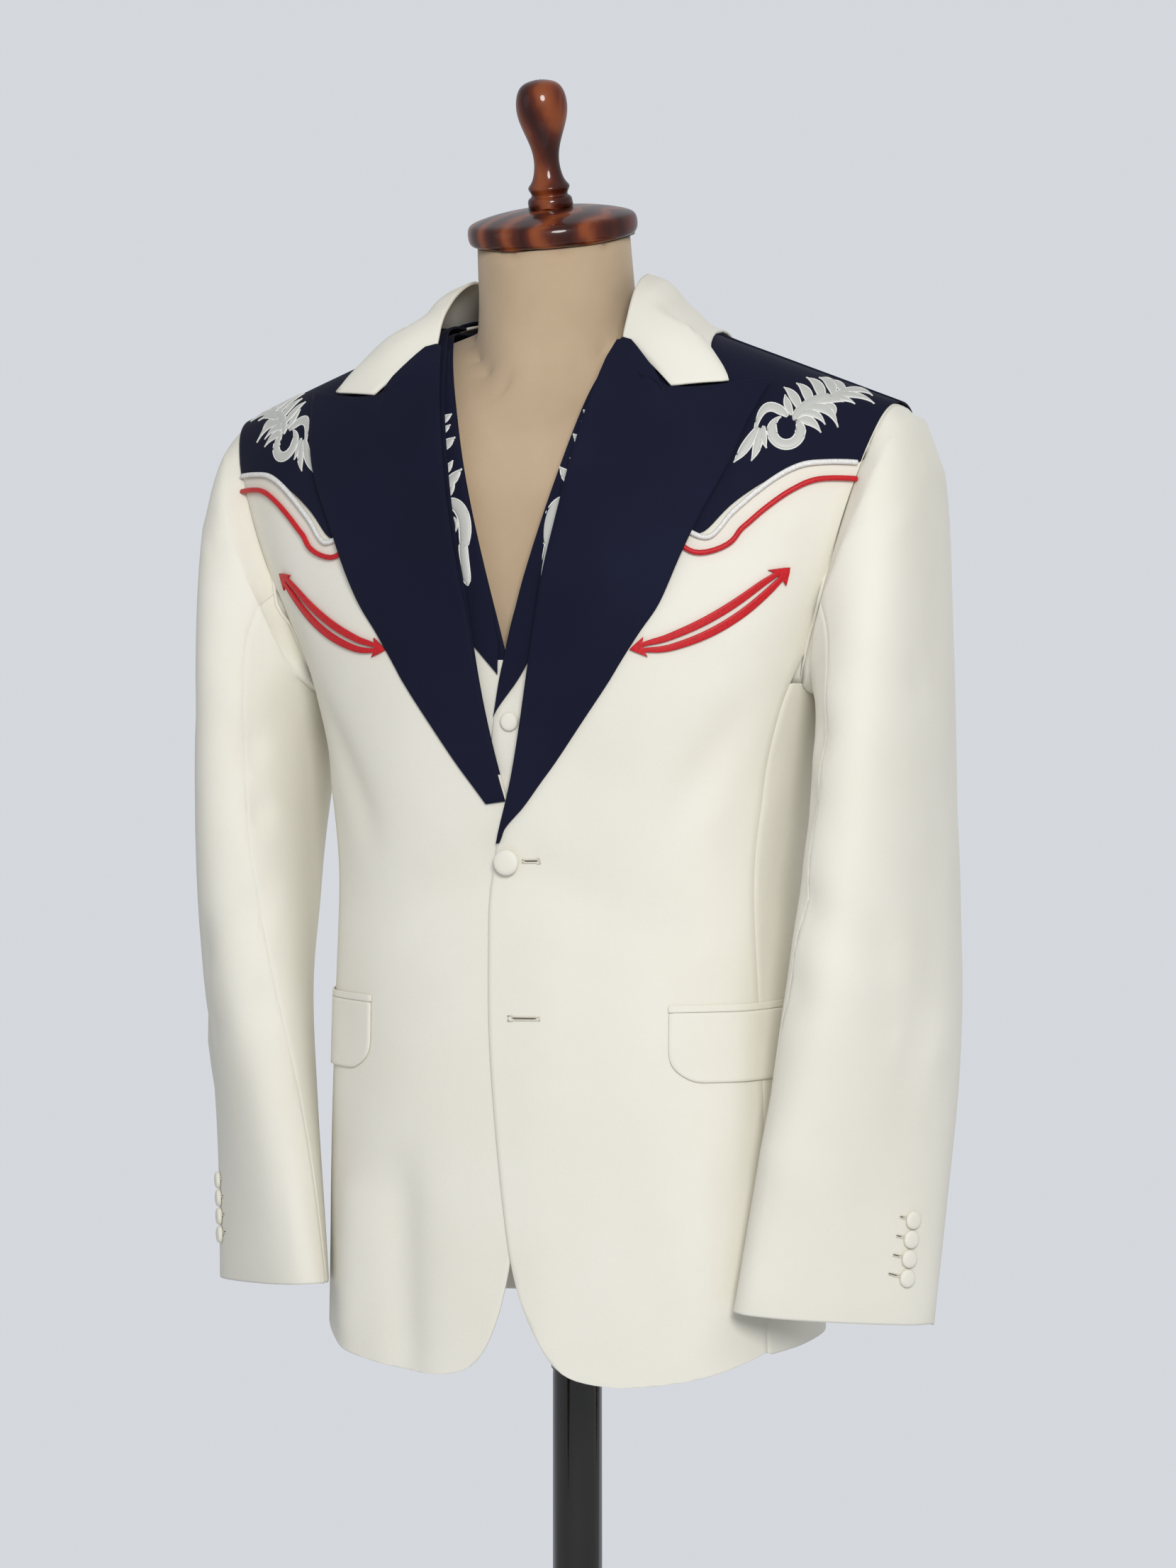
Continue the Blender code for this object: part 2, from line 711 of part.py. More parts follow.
def smile_pocket(name, side, mat, steps=12):
    def middle(part):
        return curve_value(POCKET, part, 1), curve_value(POCKET, part, 2)

    def heading(part):
        ahead = middle(min(part + 0.01, 1.0))
        behind = middle(max(part - 0.01, 0.0))
        dx, dz = ahead[0] - behind[0], ahead[1] - behind[1]
        length = math.hypot(dx, dz)
        return dx / length, dz / length

    def spot(part, along, rise):
        x, z = middle(part)
        dx, dz = heading(part)
        return x + dx * along - dz * rise, z + dz * along + dx * rise

    points = []
    faces = []
    for i in range(steps + 1):
        part = i / steps
        bow = math.sin(math.pi * part) ** 0.7
        gape = blend(WELT_GAP_END, WELT_GAP, bow) / 2
        wide = blend(WELT_END, WELT_WIDE, bow)
        points += [spot(part, 0.0, rise) for rise in (gape + wide, gape, -gape, -gape - wide)]
        if i:
            last = (i - 1) * 4
            faces += [(last + k, last + k + 1, last + k + 5, last + k + 4) for k in (0, 2)]
    for part, away in ((0.0, -1), (1.0, 1)):
        barb = len(points)
        points.append(spot(part, -away * ARROW_BACK, ARROW_WIDE / 2))
        points.append(spot(part, away * ARROW_LONG, 0.0))
        points.append(spot(part, -away * ARROW_BACK, -ARROW_WIDE / 2))
        end = steps * 4 if away > 0 else 0
        fan = [barb, end, end + 1, end + 2, end + 3, barb + 2]
        for a, b in zip(fan, fan[1:]):
            faces.append((barb + 1, a, b) if away > 0 else (barb + 1, b, a))
    inner = []
    outer = []
    for x, z in points:
        angle, level = front_spot(x, z)
        inner.append(surface(side * angle, level, TRIM_OFF))
        outer.append(surface(side * angle, level, TRIM_OFF + WELT_CLOTH))
    return wall(name, inner, outer, faces, mat)


# The hip pocket's flap, with its welt above
FLAP_TOP = 0.9915
FLAP_BOTTOM = 0.9440
FLAP_CORNER = 0.018
FLAP_FRONT_X = 0.110
FLAP_BACK_ANGLE = 1.80
WELT_TALL = 0.0050
FLAP_CLOTH = 0.0016
JET_CLOTH = 0.0012


def flap_grid(low, high, corner, columns=12, rows=6):
    """A band of spots from the flap's front edge round the side, its lower corners rounded."""
    spots = []
    for r in range(rows):
        z = blend(low, high, r / (rows - 1))
        inset = 0.0
        if corner:
            under = max(corner - (z - low), 0.0)
            inset = corner - math.sqrt(max(corner**2 - under**2, 0.0))
        first = angle_of(FLAP_FRONT_X, z) + inset / 0.15
        last = FLAP_BACK_ANGLE - inset / 0.15
        spots.append([(blend(first, last, c / (columns - 1)), z) for c in range(columns)])
    return spots


def sided(spots, side):
    return [[(side * angle, level) for angle, level in row] for row in spots]


# The waistcoat's front edge, from its point up to the neck
VEST_EDGE = (
    # height, x
    (0.985, 0.030),
    (1.000, 0.006),
    (1.100, -0.0095),
    (1.180, -0.0105),
    (1.200, -0.007),
    (1.243, 0.002),
    (1.324, 0.0250),
    (1.3545, 0.034),
    (1.411, 0.050),
    (1.455, 0.066),
    (1.470, NECK_X),
)
VEST_SIDE_Z = 1.020
VEST_OVERLAP = 0.0016


def vest_armhole_x(level):
    return armhole_x(level) - 0.012 - 0.050 * math.sin((level - ARMPIT) * math.pi / 2)


VEST_COLUMNS = (0.0, 0.09, 0.18, 0.33, 0.50, 0.67, 0.84, 1.0)


def vest_front(name, side, mat):
    spots = []
    for z in (0.985, 1.000, 1.040, 1.082, 1.130, 1.180):
        x_in = curve_value(VEST_EDGE, z, 1)
        z_out = blend(VEST_SIDE_Z, 1.190, (z - 0.985) / 0.195)
        inner, outer = angle_of(x_in, z), math.pi / 2 - 0.002
        spots.append(
            [(side * turn_between(inner, outer, part), blend(z, z_out, part**2)) for part in VEST_COLUMNS]
        )
    for rise in RISE:
        level = ARMPIT + rise
        z_in = ARMPIT + math.sin(rise * math.pi / 2) ** (2 / RING_POWER) * (NECK_Z - ARMPIT)
        x_in = curve_value(VEST_EDGE, z_in, 1)
        x_out = vest_armhole_x(level)
        spots.append([(side * angle_of(blend(x_in, x_out, part), level), level) for part in VEST_COLUMNS])

    def lift(point):
        lap = VEST_OVERLAP * (1 - smoothstep(0.016, 0.040, point.x)) if side > 0 else 0.0
        return VEST_OFF + lap

    return panel(name, spots, lift, VEST_CLOTH, mat)


def vest_back(name, mat):
    columns = 17
    spots = []
    for z in (VEST_SIDE_Z, 1.075, 1.130, 1.190):
        first = math.pi / 2 + 0.002
        spots.append([(blend(first, 2 * math.pi - first, c / (columns - 1)), z) for c in range(columns)])
    for rise in RISE:
        row = []
        for c in range(columns):
            part = 1 - 2 * c / (columns - 1)
            x = abs(part) * vest_armhole_x(ARMPIT + rise)
            level = ARMPIT + rise * back_top(x)
            turn = angle_of(x, level) if part > 0 else -angle_of(x, level)
            row.append((math.pi - turn, level))
        spots.append(row)
    return panel(name, spots, VEST_OFF, VEST_CLOTH, mat)


# The waistcoat's lapels: the roll line, and the outer edge beside it
VEST_LAPEL = (
    # roll x, roll height, outer x, outer height
    (0.0130, 1.2830, 0.0560, 1.2750),
    (0.0250, 1.3240, 0.0830, 1.3200),
    (0.0340, 1.3545, 0.1000, 1.3620),
    (0.0500, 1.4110, 0.1120, 1.4150),
    (0.0640, 1.4500, 0.1150, 1.4400),
)
VEST_LAPEL_LOW = {
    # the lower end of the left lapel, which laps over, and of the right one
    1: (
        (-0.0085, 1.1930, -0.0055, 1.1980),
        (-0.0035, 1.2180, 0.0090, 1.2160),
        (0.0026, 1.2426, 0.0226, 1.2370),
    ),
    -1: ((0.0056, 1.2215, 0.0074, 1.2235), (0.0050, 1.2420, 0.0250, 1.2430)),
}
VEST_LAPEL_RISE = 0.0006
VEST_LAPEL_CLOTH = 0.0010


def vest_lapel(name, side, mat):
    columns = 5
    spots = []
    table = VEST_LAPEL_LOW[side] + VEST_LAPEL
    for low, high in zip(table, table[1:]):
        for part in (0.0, 0.5):
            x_in, z_in, x_out, z_out = (blend(a, b, part) for a, b in zip(low, high))
            spots.append(lapel_row(x_in, z_in, x_out, z_out, columns, side))
    spots.append(lapel_row(*table[-1], columns, side))

    def lift(point):
        lap = VEST_OVERLAP * (1 - smoothstep(0.016, 0.040, point.x)) if side > 0 else 0.0
        high = VEST_LAPEL_RISE * smoothstep(1.32, 1.36, point.z)
        return VEST_OFF + VEST_CLOTH + VEST_LAPEL_RISE + high + lap

    return panel(name, spots, lift, VEST_LAPEL_CLOTH, mat)


def lapel_row(x_in, z_in, x_out, z_out, columns, side):
    row = []
    for c in range(columns):
        across = c / (columns - 1)
        angle, level = front_spot(blend(x_in, x_out, across), blend(z_in, z_out, across))
        row.append((side * angle, level))
    return row


# The dress form
FORM_BOTTOM = 0.865
FORM_SHOULDER_LOW = 0.150
FORM_SHOULDER = 0.200
FORM_TOP_TURN = 0.952
FORM_EASE = 0.0080
NECK = (
    # height of the centre, y of the centre, radius across, radius fore and aft, forward tilt in degrees
    (1.400, -0.026, 0.0640, 0.0700, 4),
    (1.450, -0.033, 0.0590, 0.0625, 7),
    (1.485, -0.039, 0.0560, 0.0590, 11),
    (1.528, -0.046, 0.0550, 0.0560, 14),
)
CAP_TILT = math.radians(14)
CAP_BASE = (0.0, -0.0462, 1.5284)
CAP_PROFILE = (
    # radius, height along the cap's axis
    (0.0540, 0.0000),
    (0.0575, 0.0010),
    (0.0598, 0.0045),
    (0.0600, 0.0110),
    (0.0580, 0.0150),
    (0.0532, 0.0172),
    (0.0440, 0.0196),
    (0.0300, 0.0220),
    (0.0170, 0.0230),
)
HANDLE_PROFILE = (
    # radius, height above the cap
    (0.0148, 0.0003),
    (0.0158, 0.0034),
    (0.0150, 0.0070),
    (0.0128, 0.0090),
    (0.0138, 0.0122),
    (0.0145, 0.0152),
    (0.0118, 0.0190),
    (0.0096, 0.0260),
    (0.0090, 0.0340),
    (0.0104, 0.0430),
    (0.0138, 0.0530),
    (0.0168, 0.0620),
    (0.0180, 0.0700),
    (0.0174, 0.0775),
    (0.0148, 0.0840),
    (0.0098, 0.0880),
    (0.0035, 0.0895),
)
POLE_RADIUS = 0.0175
RING_RADIUS = 0.0190
RING_LOW = 0.7235
RING_HIGH = 0.7325
BASE_RADIUS = 0.180
BASE_TALL = 0.020
BASE_EDGE = 0.006


def form_torso(name, mat):
    """The torso, closed below and at the shoulders, with the neck joined on."""
    across = 11
    verts = []
    heights = (FORM_BOTTOM, 0.95, 1.03, 1.082, 1.145, ARMPIT)
    levels = list(heights) + [ARMPIT + rise for rise in RISE[:-1] if rise < FORM_TOP_TURN]
    levels.append(ARMPIT + FORM_TOP_TURN)
    for level in levels:
        limit = math.pi / 2 - 0.04
        if level >= ARMPIT:
            part = math.sin((level - ARMPIT) * math.pi / 2) ** (2 / RING_POWER)
            limit = min(limit, angle_of(blend(FORM_SHOULDER_LOW, FORM_SHOULDER, part), level))
        turns = [limit * (2 * c / (across - 1) - 1) for c in range(across)]
        off = FORM_OFF - FORM_EASE * (1 - smoothstep(0.75, 0.95, level - ARMPIT))
        verts += [surface(turn, level, off) for turn in turns]
        verts += [surface(math.pi + turn, level, off) for turn in turns]
    ring = 2 * across
    faces = []
    for r in range(len(levels) - 1):
        for c in range(ring):
            a, b = r * ring + c, r * ring + (c + 1) % ring
            faces.append((a, b, b + ring, a + ring))
    top = (len(levels) - 1) * ring
    for start in (0, top):
        for c in range(across - 1):
            faces.append((start + c, start + c + 1, start + ring - 2 - c, start + ring - 1 - c))
    torso = new_object(name, verts, faces, mat)
    neck = turned_rings("neck_shape", NECK, 20, mat)
    neck.hide_render = True
    neck.display_type = "WIRE"
    joined = torso.modifiers.new("neck", "BOOLEAN")
    joined.operation = "UNION"
    joined.solver = "EXACT"
    joined.object = neck
    return torso


def turned_rings(name, table, steps, mat):
    verts = []
    for z, y, wide, deep, tilt in table:
        lean = math.radians(tilt)
        for s in range(steps):
            turn = 2 * math.pi * (s + 0.5) / steps
            along = deep * math.sin(turn)
            verts.append((wide * math.cos(turn), y + along * math.cos(lean), z + along * math.sin(lean)))
    faces = [tuple(range(steps)), tuple((len(table) - 1) * steps + s for s in range(steps))]
    for ring in range(len(table) - 1):
        for s in range(steps):
            a, b = ring * steps + s, ring * steps + (s + 1) % steps
            faces.append((a, b, b + steps, a + steps))
    return new_object(name, verts, faces, mat)


def turned(name, profile, base, tilt, steps, mat):
    """A solid turned about an axis through base that leans forward by tilt."""
    verts = []
    for radius, height in profile:
        for s in range(steps):
            turn = 2 * math.pi * s / steps
            along = radius * math.sin(turn)
            verts.append(
                (
                    base[0] + radius * math.cos(turn),
                    base[1] + along * math.cos(tilt) - height * math.sin(tilt),
                    base[2] + along * math.sin(tilt) + height * math.cos(tilt),
                )
            )
    faces = [tuple(range(steps)), tuple((len(profile) - 1) * steps + s for s in range(steps))]
    for ring in range(len(profile) - 1):
        for s in range(steps):
            a, b = ring * steps + s, ring * steps + (s + 1) % steps
            faces.append((a, b, b + steps, a + steps))
    return new_object(name, verts, faces, mat)


def build_stand():
    wood = material("varnished_wood", WOOD, 0.18)
    metal = material("black_metal", BLACK, 0.22)
    form_torso("form_torso", material("form_linen", LINEN, 0.85))
    turned("neck_cap", CAP_PROFILE, CAP_BASE, CAP_TILT, 24, wood)
    rise = CAP_PROFILE[-1][1]
    handle_base = (
        0.0,
        CAP_BASE[1] - rise * math.sin(CAP_TILT),
        CAP_BASE[2] + rise * math.cos(CAP_TILT),
    )
    turned("cap_handle", HANDLE_PROFILE, handle_base, CAP_TILT, 14, wood)
    tubes = (
        ("pole_upper", POLE_RADIUS, RING_HIGH + SEAM, FORM_BOTTOM - SEAM),
        ("pole_ring", RING_RADIUS, RING_LOW, RING_HIGH),
        ("pole_lower", POLE_RADIUS, BASE_TALL + SEAM, RING_LOW - SEAM),
    )
    for name, radius, low, high in tubes:
        profile = ((radius, low), (radius, high))
        turned(name, profile, (0, 0, 0), 0.0, 20, metal)
    base = (
        (BASE_RADIUS, 0.0),
        (BASE_RADIUS, BASE_TALL - BASE_EDGE),
        (BASE_RADIUS - BASE_EDGE, BASE_TALL),
    )
    turned("base", base, (0, 0, 0), 0.0, 36, metal)


# The cuff buttons: how far up the sleeve from the cuff, as rows of the sleeve, and how far round it
CUFF_BUTTONS = (
    # row, turn
    (10.10, -0.42),
    (10.27, -0.44),
    (10.44, -0.46),
    (10.61, -0.48),
)
CUFF_BUTTON_RADIUS = 0.0062
CUFF_BUTTON_TALL = 0.0036
CUFF_BUTTON_GAP = 0.0005
VEST_BUTTON_X = 0.003
VEST_BUTTON_Z = 1.189
VEST_BUTTON_RADIUS = 0.0065
VEST_BUTTON_TALL = 0.0034
FRONT_LAP = CLOTH + OVERLAP_OFF
BUTTON_GAP = 0.0010
BUTTON_RADIUS = 0.0090
BUTTON_TALL = 0.0052
VEST_LAP = VEST_OFF + VEST_OVERLAP + VEST_CLOTH


def sleeve_normal(row, turn):
    """The way out of the sleeve's surface at a row and a turn."""
    near = 0.02
    around = sleeve_point(row, turn + near, 0.0) - sleeve_point(row, turn - near, 0.0)
    down = sleeve_point(row + near, turn, 0.0) - sleeve_point(row - near, turn, 0.0)
    normal = around.cross(down).normalized()
    outward = sleeve_point(row, turn, SLEEVE_CLOTH) - sleeve_point(row, turn, 0.0)
    return normal if normal.dot(outward) > 0 else -normal


def cuff_buttons(side, mat):
    for i, (row, turn) in enumerate(CUFF_BUTTONS):
        turn %= 2 * math.pi
        rest = sleeve_point(row, turn, SLEEVE_CLOTH + CUFF_BUTTON_GAP)
        normal = sleeve_normal(row, turn)
        rest.x *= side
        normal.x *= side
        word = "left" if side > 0 else "right"
        disc(f"cuff_button_{word}_{i + 1}", rest, normal, CUFF_BUTTON_RADIUS, CUFF_BUTTON_TALL, mat, 10)


def build_jacket():
    ivory = material("ivory_wool", IVORY, 0.75)
    navy = material("navy_wool", NAVY, 0.70)
    red = material("red_cord", RED, 0.50)
    cords = {"white": material("white_cord", WHITE, 0.55), "red": red}
    yoke_back("yoke_back", navy)
    collar("collar", ivory)
    for side, word in ((1, "left"), (-1, "right")):
        jacket_front(f"jacket_front_{word}", side, ivory)
        jacket_side(f"jacket_side_{word}", side, ivory)
        jacket_back(f"jacket_back_{word}", side, ivory)
        yoke_front(f"yoke_front_{word}", side, navy)
        lapel(f"lapel_{word}", side, navy)
        sleeve_piece(
            f"topsleeve_{word}", side, HIND_SEAM - 2 * math.pi + SLEEVE_SEAM, FORE_SEAM - SLEEVE_SEAM, 12, ivory
        )
        sleeve_piece(f"undersleeve_{word}", side, FORE_SEAM + SLEEVE_SEAM, HIND_SEAM - SLEEVE_SEAM, 8, ivory)
        for name, down, radius, start in PIPINGS:
            path = edge_path(YOKE_EDGE, start, PIPING_END, down, front_spot)
            cord(f"yoke_piping_{name}_{word}", mirrored(path, side), radius, cords[name])
        smile_pocket(f"smile_pocket_{word}", side, red)
        flap = flap_grid(FLAP_BOTTOM, FLAP_TOP, FLAP_CORNER)
        panel(f"pocket_flap_{word}", sided(flap, side), TRIM_OFF, FLAP_CLOTH, ivory)
        welt = flap_grid(FLAP_TOP + SEAM, FLAP_TOP + WELT_TALL, 0.0, 12, 2)
        panel(f"flap_welt_{word}", sided(welt, side), TRIM_OFF, JET_CLOTH, ivory)
        cuff_buttons(side, ivory)
    for name, down, radius, _ in PIPINGS:
        path = edge_path(BACK_YOKE_EDGE, -PIPING_END, PIPING_END, down, back_piping_spot, 31)
        cord(f"back_piping_{name}", path, radius, cords[name])
    front_disc("jacket_button", BUTTON_X, BUTTON_Z, FRONT_LAP + BUTTON_GAP, BUTTON_RADIUS, BUTTON_TALL, ivory)


def back_piping_spot(x, z):
    level = level_of(x, z)
    angle = angle_of(abs(x), level)
    return (math.pi - angle if x >= 0 else math.pi + angle), level


def build_vest():
    ivory = material("ivory_wool", IVORY, 0.75)
    navy = material("navy_wool", NAVY, 0.70)
    vest_back("vest_back", navy)
    for side, word in ((1, "left"), (-1, "right")):
        vest_front(f"vest_front_{word}", side, ivory)
        vest_lapel(f"vest_lapel_{word}", side, navy)
    off = VEST_LAP + SEAM
    front_disc("vest_button", VEST_BUTTON_X, VEST_BUTTON_Z, off, VEST_BUTTON_RADIUS, VEST_BUTTON_TALL, ivory)


def main():
    clear_scene()
    build_stand()
    build_vest()
    build_jacket()


main()
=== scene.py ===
import math

import bmesh
import bpy
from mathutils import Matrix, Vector
from mathutils.bvhtree import BVHTree


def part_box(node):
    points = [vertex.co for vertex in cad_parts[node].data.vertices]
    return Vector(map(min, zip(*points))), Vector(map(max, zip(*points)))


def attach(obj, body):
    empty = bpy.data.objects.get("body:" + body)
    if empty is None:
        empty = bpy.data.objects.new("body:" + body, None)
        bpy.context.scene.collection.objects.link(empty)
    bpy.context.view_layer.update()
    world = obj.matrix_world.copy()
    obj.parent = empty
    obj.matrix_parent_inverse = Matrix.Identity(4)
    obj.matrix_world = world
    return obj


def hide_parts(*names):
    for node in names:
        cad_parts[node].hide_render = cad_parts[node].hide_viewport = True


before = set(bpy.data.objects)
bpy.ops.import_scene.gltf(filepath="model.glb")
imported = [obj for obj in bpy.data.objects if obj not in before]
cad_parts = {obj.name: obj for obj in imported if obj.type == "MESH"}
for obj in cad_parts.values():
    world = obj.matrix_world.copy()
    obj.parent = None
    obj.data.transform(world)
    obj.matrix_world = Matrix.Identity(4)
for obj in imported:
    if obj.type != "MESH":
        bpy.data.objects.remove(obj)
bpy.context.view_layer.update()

up = Vector((0, 0, 1))


# Materials

def newMaterial(name, roughness, **inputs):
    material = bpy.data.materials.new(name)
    material.use_nodes = True
    shader = material.node_tree.nodes["Principled BSDF"]
    shader.inputs["Roughness"].default_value = roughness
    for key, value in inputs.items():
        shader.inputs[key.replace("_", " ")].default_value = value
    return material


def addNode(material, kind, **values):
    node = material.node_tree.nodes.new(kind)
    for key, value in values.items():
        if hasattr(node, key):
            setattr(node, key, value)
        else:
            node.inputs[key.replace("_", " ")].default_value = value
    return node


def joinNodes(material, source, target):
    material.node_tree.links.new(source, target)


def shaderOf(material):
    return material.node_tree.nodes["Principled BSDF"]


def paint(material, colour):
    joinNodes(material, colour, shaderOf(material).inputs["Base Color"])


def objectPlace(material, scale=(1, 1, 1), turn=(0, 0, 0)):
    place = addNode(material, "ShaderNodeTexCoord")
    mapping = addNode(material, "ShaderNodeMapping", Scale=scale, Rotation=turn)
    joinNodes(material, place.outputs["Object"], mapping.inputs["Vector"])
    return mapping.outputs["Vector"]


def noiseOn(material, vector, scale, detail=2.0):
    noise = addNode(material, "ShaderNodeTexNoise", Scale=scale, Detail=detail)
    joinNodes(material, vector, noise.inputs["Vector"])
    return noise.outputs["Fac"]


def twoColours(material, factor, low, high, start=0.3, stop=0.7):
    ramp = addNode(material, "ShaderNodeValToRGB")
    ramp.color_ramp.elements[0].position = start
    ramp.color_ramp.elements[0].color = (*low, 1)
    ramp.color_ramp.elements[1].position = stop
    ramp.color_ramp.elements[1].color = (*high, 1)
    joinNodes(material, factor, ramp.inputs["Fac"])
    return ramp.outputs["Color"]


def addBump(material, height, distance, strength=1.0, under=None):
    bump = addNode(material, "ShaderNodeBump", Distance=distance, Strength=strength)
    joinNodes(material, height, bump.inputs["Height"])
    if under is not None:
        joinNodes(material, under, bump.inputs["Normal"])
    joinNodes(material, bump.outputs["Normal"], shaderOf(material).inputs["Normal"])
    return bump.outputs["Normal"]


def blendSum(material, first, second, operation="ADD"):
    node = addNode(material, "ShaderNodeMath", operation=operation)
    joinNodes(material, first, node.inputs[0])
    joinNodes(material, second, node.inputs[1])
    return node.outputs["Value"]


wool = {
    "warp": (1500, 1500, 240),   # threads that run up the cloth
    "weft": (260, 260, 1500),   # threads that run across it
    "threadRelief": 0.00011,
    "cloud": 9.0,   # scale of the slow change of tone
    "wrinkle": 38.0,   # scale of the faint unevenness
    "wrinkleRelief": 0.0004,
}


def woolMaterial(name, low, high, sheen, roughness):
    material = newMaterial(
        name, roughness, Sheen_Weight=sheen, Sheen_Roughness=0.45, Specular_IOR_Level=0.15,
    )
    cloud = noiseOn(material, objectPlace(material), wool["cloud"], 4.0)
    paint(material, twoColours(material, cloud, low, high))
    warp = noiseOn(material, objectPlace(material, wool["warp"]), 1.0)
    weft = noiseOn(material, objectPlace(material, wool["weft"]), 1.0)
    wrinkle = noiseOn(material, objectPlace(material), wool["wrinkle"], 3.0)
    soft = addBump(material, wrinkle, wool["wrinkleRelief"], 0.30)
    addBump(material, blendSum(material, warp, weft), wool["threadRelief"], 0.8, soft)
    return material


stitch = {
    "slant": 0.35,   # radians from straight across
    "wavesPerUnit": 0.314,   # the wave texture's own measure, for stitches 1 mm apart
    "uneven": 1.6,
    "relief": 0.00016,
}


def threadMaterial(name, low, high, pitch, roughness):
    # satin stitches: fine ridges across the piece, pitch millimetres apart on its own UV map
    material = newMaterial(
        name, roughness, Sheen_Weight=0.25, Anisotropic=0.5, Specular_IOR_Level=0.6,
    )
    place = addNode(material, "ShaderNodeUVMap", uv_map="UVMap")
    mapping = addNode(
        material, "ShaderNodeMapping",
        Scale=(stitch["wavesPerUnit"] / pitch, 1.2, 1), Rotation=(0, 0, stitch["slant"]),
    )
    joinNodes(material, place.outputs["UV"], mapping.inputs["Vector"])
    wave = addNode(
        material, "ShaderNodeTexWave",
        bands_direction="X", Scale=1.0, Distortion=stitch["uneven"], Detail=3.0,
    )
    joinNodes(material, mapping.outputs["Vector"], wave.inputs["Vector"])
    # the same wave sets colour and relief: darker in the grooves between stitches, which is painted
    # shade, over the thread's own uneven tone
    paint(material, twoColours(material, wave.outputs["Fac"], low, high, 0.05, 0.6))
    addBump(material, wave.outputs["Fac"], stitch["relief"], 0.9)
    return material


satin = {
    "threads": (1500, 300, 500),
    "slant": 0.5,   # radians
    "relief": 0.00014,
}


def cordMaterial(name, low, high):
    # satin laid over a cord: fine slanting threads
    material = newMaterial(name, 0.46, Sheen_Weight=0.04, Specular_IOR_Level=0.30)
    place = objectPlace(material, satin["threads"], (0, 0, satin["slant"]))
    threads = noiseOn(material, place, 1.0)
    # the same noise sets colour and relief: the threads are darker where they lie low, which is
    # painted shade, over the satin's own uneven tone
    paint(material, twoColours(material, threads, low, high))
    addBump(material, threads, satin["relief"], 0.8)
    return material


wood = {
    "dark": (0.032, 0.0050, 0.0022),
    "middle": (0.095, 0.0150, 0.0048),
    "light": (0.230, 0.054, 0.014),
    "bands": (14, 18, 6),   # how closely the grain runs along each axis
    "leaning": (0.30, 0.20, 0.2),
    "wander": 5.5,
    "pores": (900, 900, 60),
    "poreRelief": 0.00006,
}


def woodMaterial(name):
    material = newMaterial(
        name, 0.34, Coat_Weight=0.55, Coat_Roughness=0.05, Specular_IOR_Level=0.1,
    )
    wave = addNode(
        material, "ShaderNodeTexWave",
        bands_direction="X", Scale=1.0, Distortion=wood["wander"], Detail=4.0, Detail_Scale=1.3,
    )
    place = objectPlace(material, wood["bands"], wood["leaning"])
    joinNodes(material, place, wave.inputs["Vector"])
    ramp = addNode(material, "ShaderNodeValToRGB")
    ramp.color_ramp.elements[0].color = (*wood["dark"], 1)
    ramp.color_ramp.elements[1].color = (*wood["light"], 1)
    ramp.color_ramp.elements.new(0.55).color = (*wood["middle"], 1)
    joinNodes(material, wave.outputs["Fac"], ramp.inputs["Fac"])
    paint(material, ramp.outputs["Color"])
    pores = noiseOn(material, objectPlace(material, wood["pores"]), 1.0)
    addBump(material, pores, wood["poreRelief"], 0.35)
    return material


metal = {
    "low": (0.006, 0.0055, 0.005),
    "high": (0.016, 0.014, 0.012),
    "marks": (60, 60, 8),   # long faint marks down the pole
    "grit": 220.0,
    "gritRelief": 0.00003,
}


def metalMaterial(name):
    material = newMaterial(name, 0.24, Metallic=0.3, Coat_Weight=0.6, Coat_Roughness=0.12)
    marks = noiseOn(material, objectPlace(material, metal["marks"]), 1.0, 5.0)
    paint(material, twoColours(material, marks, metal["low"], metal["high"]))
    grit = noiseOn(material, objectPlace(material), metal["grit"], 3.0)
    addBump(material, grit, metal["gritRelief"], 0.4)
    return material


jersey = {
    "low": (0.455, 0.335, 0.215),
    "high": (0.53, 0.40, 0.265),
    "cloud": 14.0,
    "wales": (1100, 1100, 300),
    "courses": (420, 420, 1300),
    "relief": 0.00016,
}


def jerseyMaterial(name):
    material = newMaterial(name, 0.86, Sheen_Weight=0.18, Specular_IOR_Level=0.2)
    cloud = noiseOn(material, objectPlace(material), jersey["cloud"], 5.0)
    paint(material, twoColours(material, cloud, jersey["low"], jersey["high"]))
    wales = noiseOn(material, objectPlace(material, jersey["wales"]), 1.0)
    courses = noiseOn(material, objectPlace(material, jersey["courses"]), 1.0)
    addBump(material, blendSum(material, wales, courses, "MULTIPLY"), jersey["relief"], 0.9)
    return material


def plainMaterial(name, colour, roughness):
    material = newMaterial(name, roughness)
    shaderOf(material).inputs["Base Color"].default_value = (*colour, 1)
    return material


# name, darker colour, lighter colour, then sheen and roughness
ivoryWool = woolMaterial("ivoryWool", (0.755, 0.725, 0.625), (0.800, 0.772, 0.680), 0.12, 0.80)
navyWool = woolMaterial("navyWool", (0.0050, 0.0062, 0.0195), (0.0078, 0.0092, 0.0265), 0.02, 0.85)
# for the satin cords the darker colour is painted shade in the low places between threads, with the
# satin's own tone
redSatin = cordMaterial("redSatin", (0.42, 0.006, 0.010), (0.62, 0.012, 0.018))
whiteSatin = cordMaterial("whiteSatin", (0.62, 0.61, 0.57), (0.84, 0.83, 0.80))
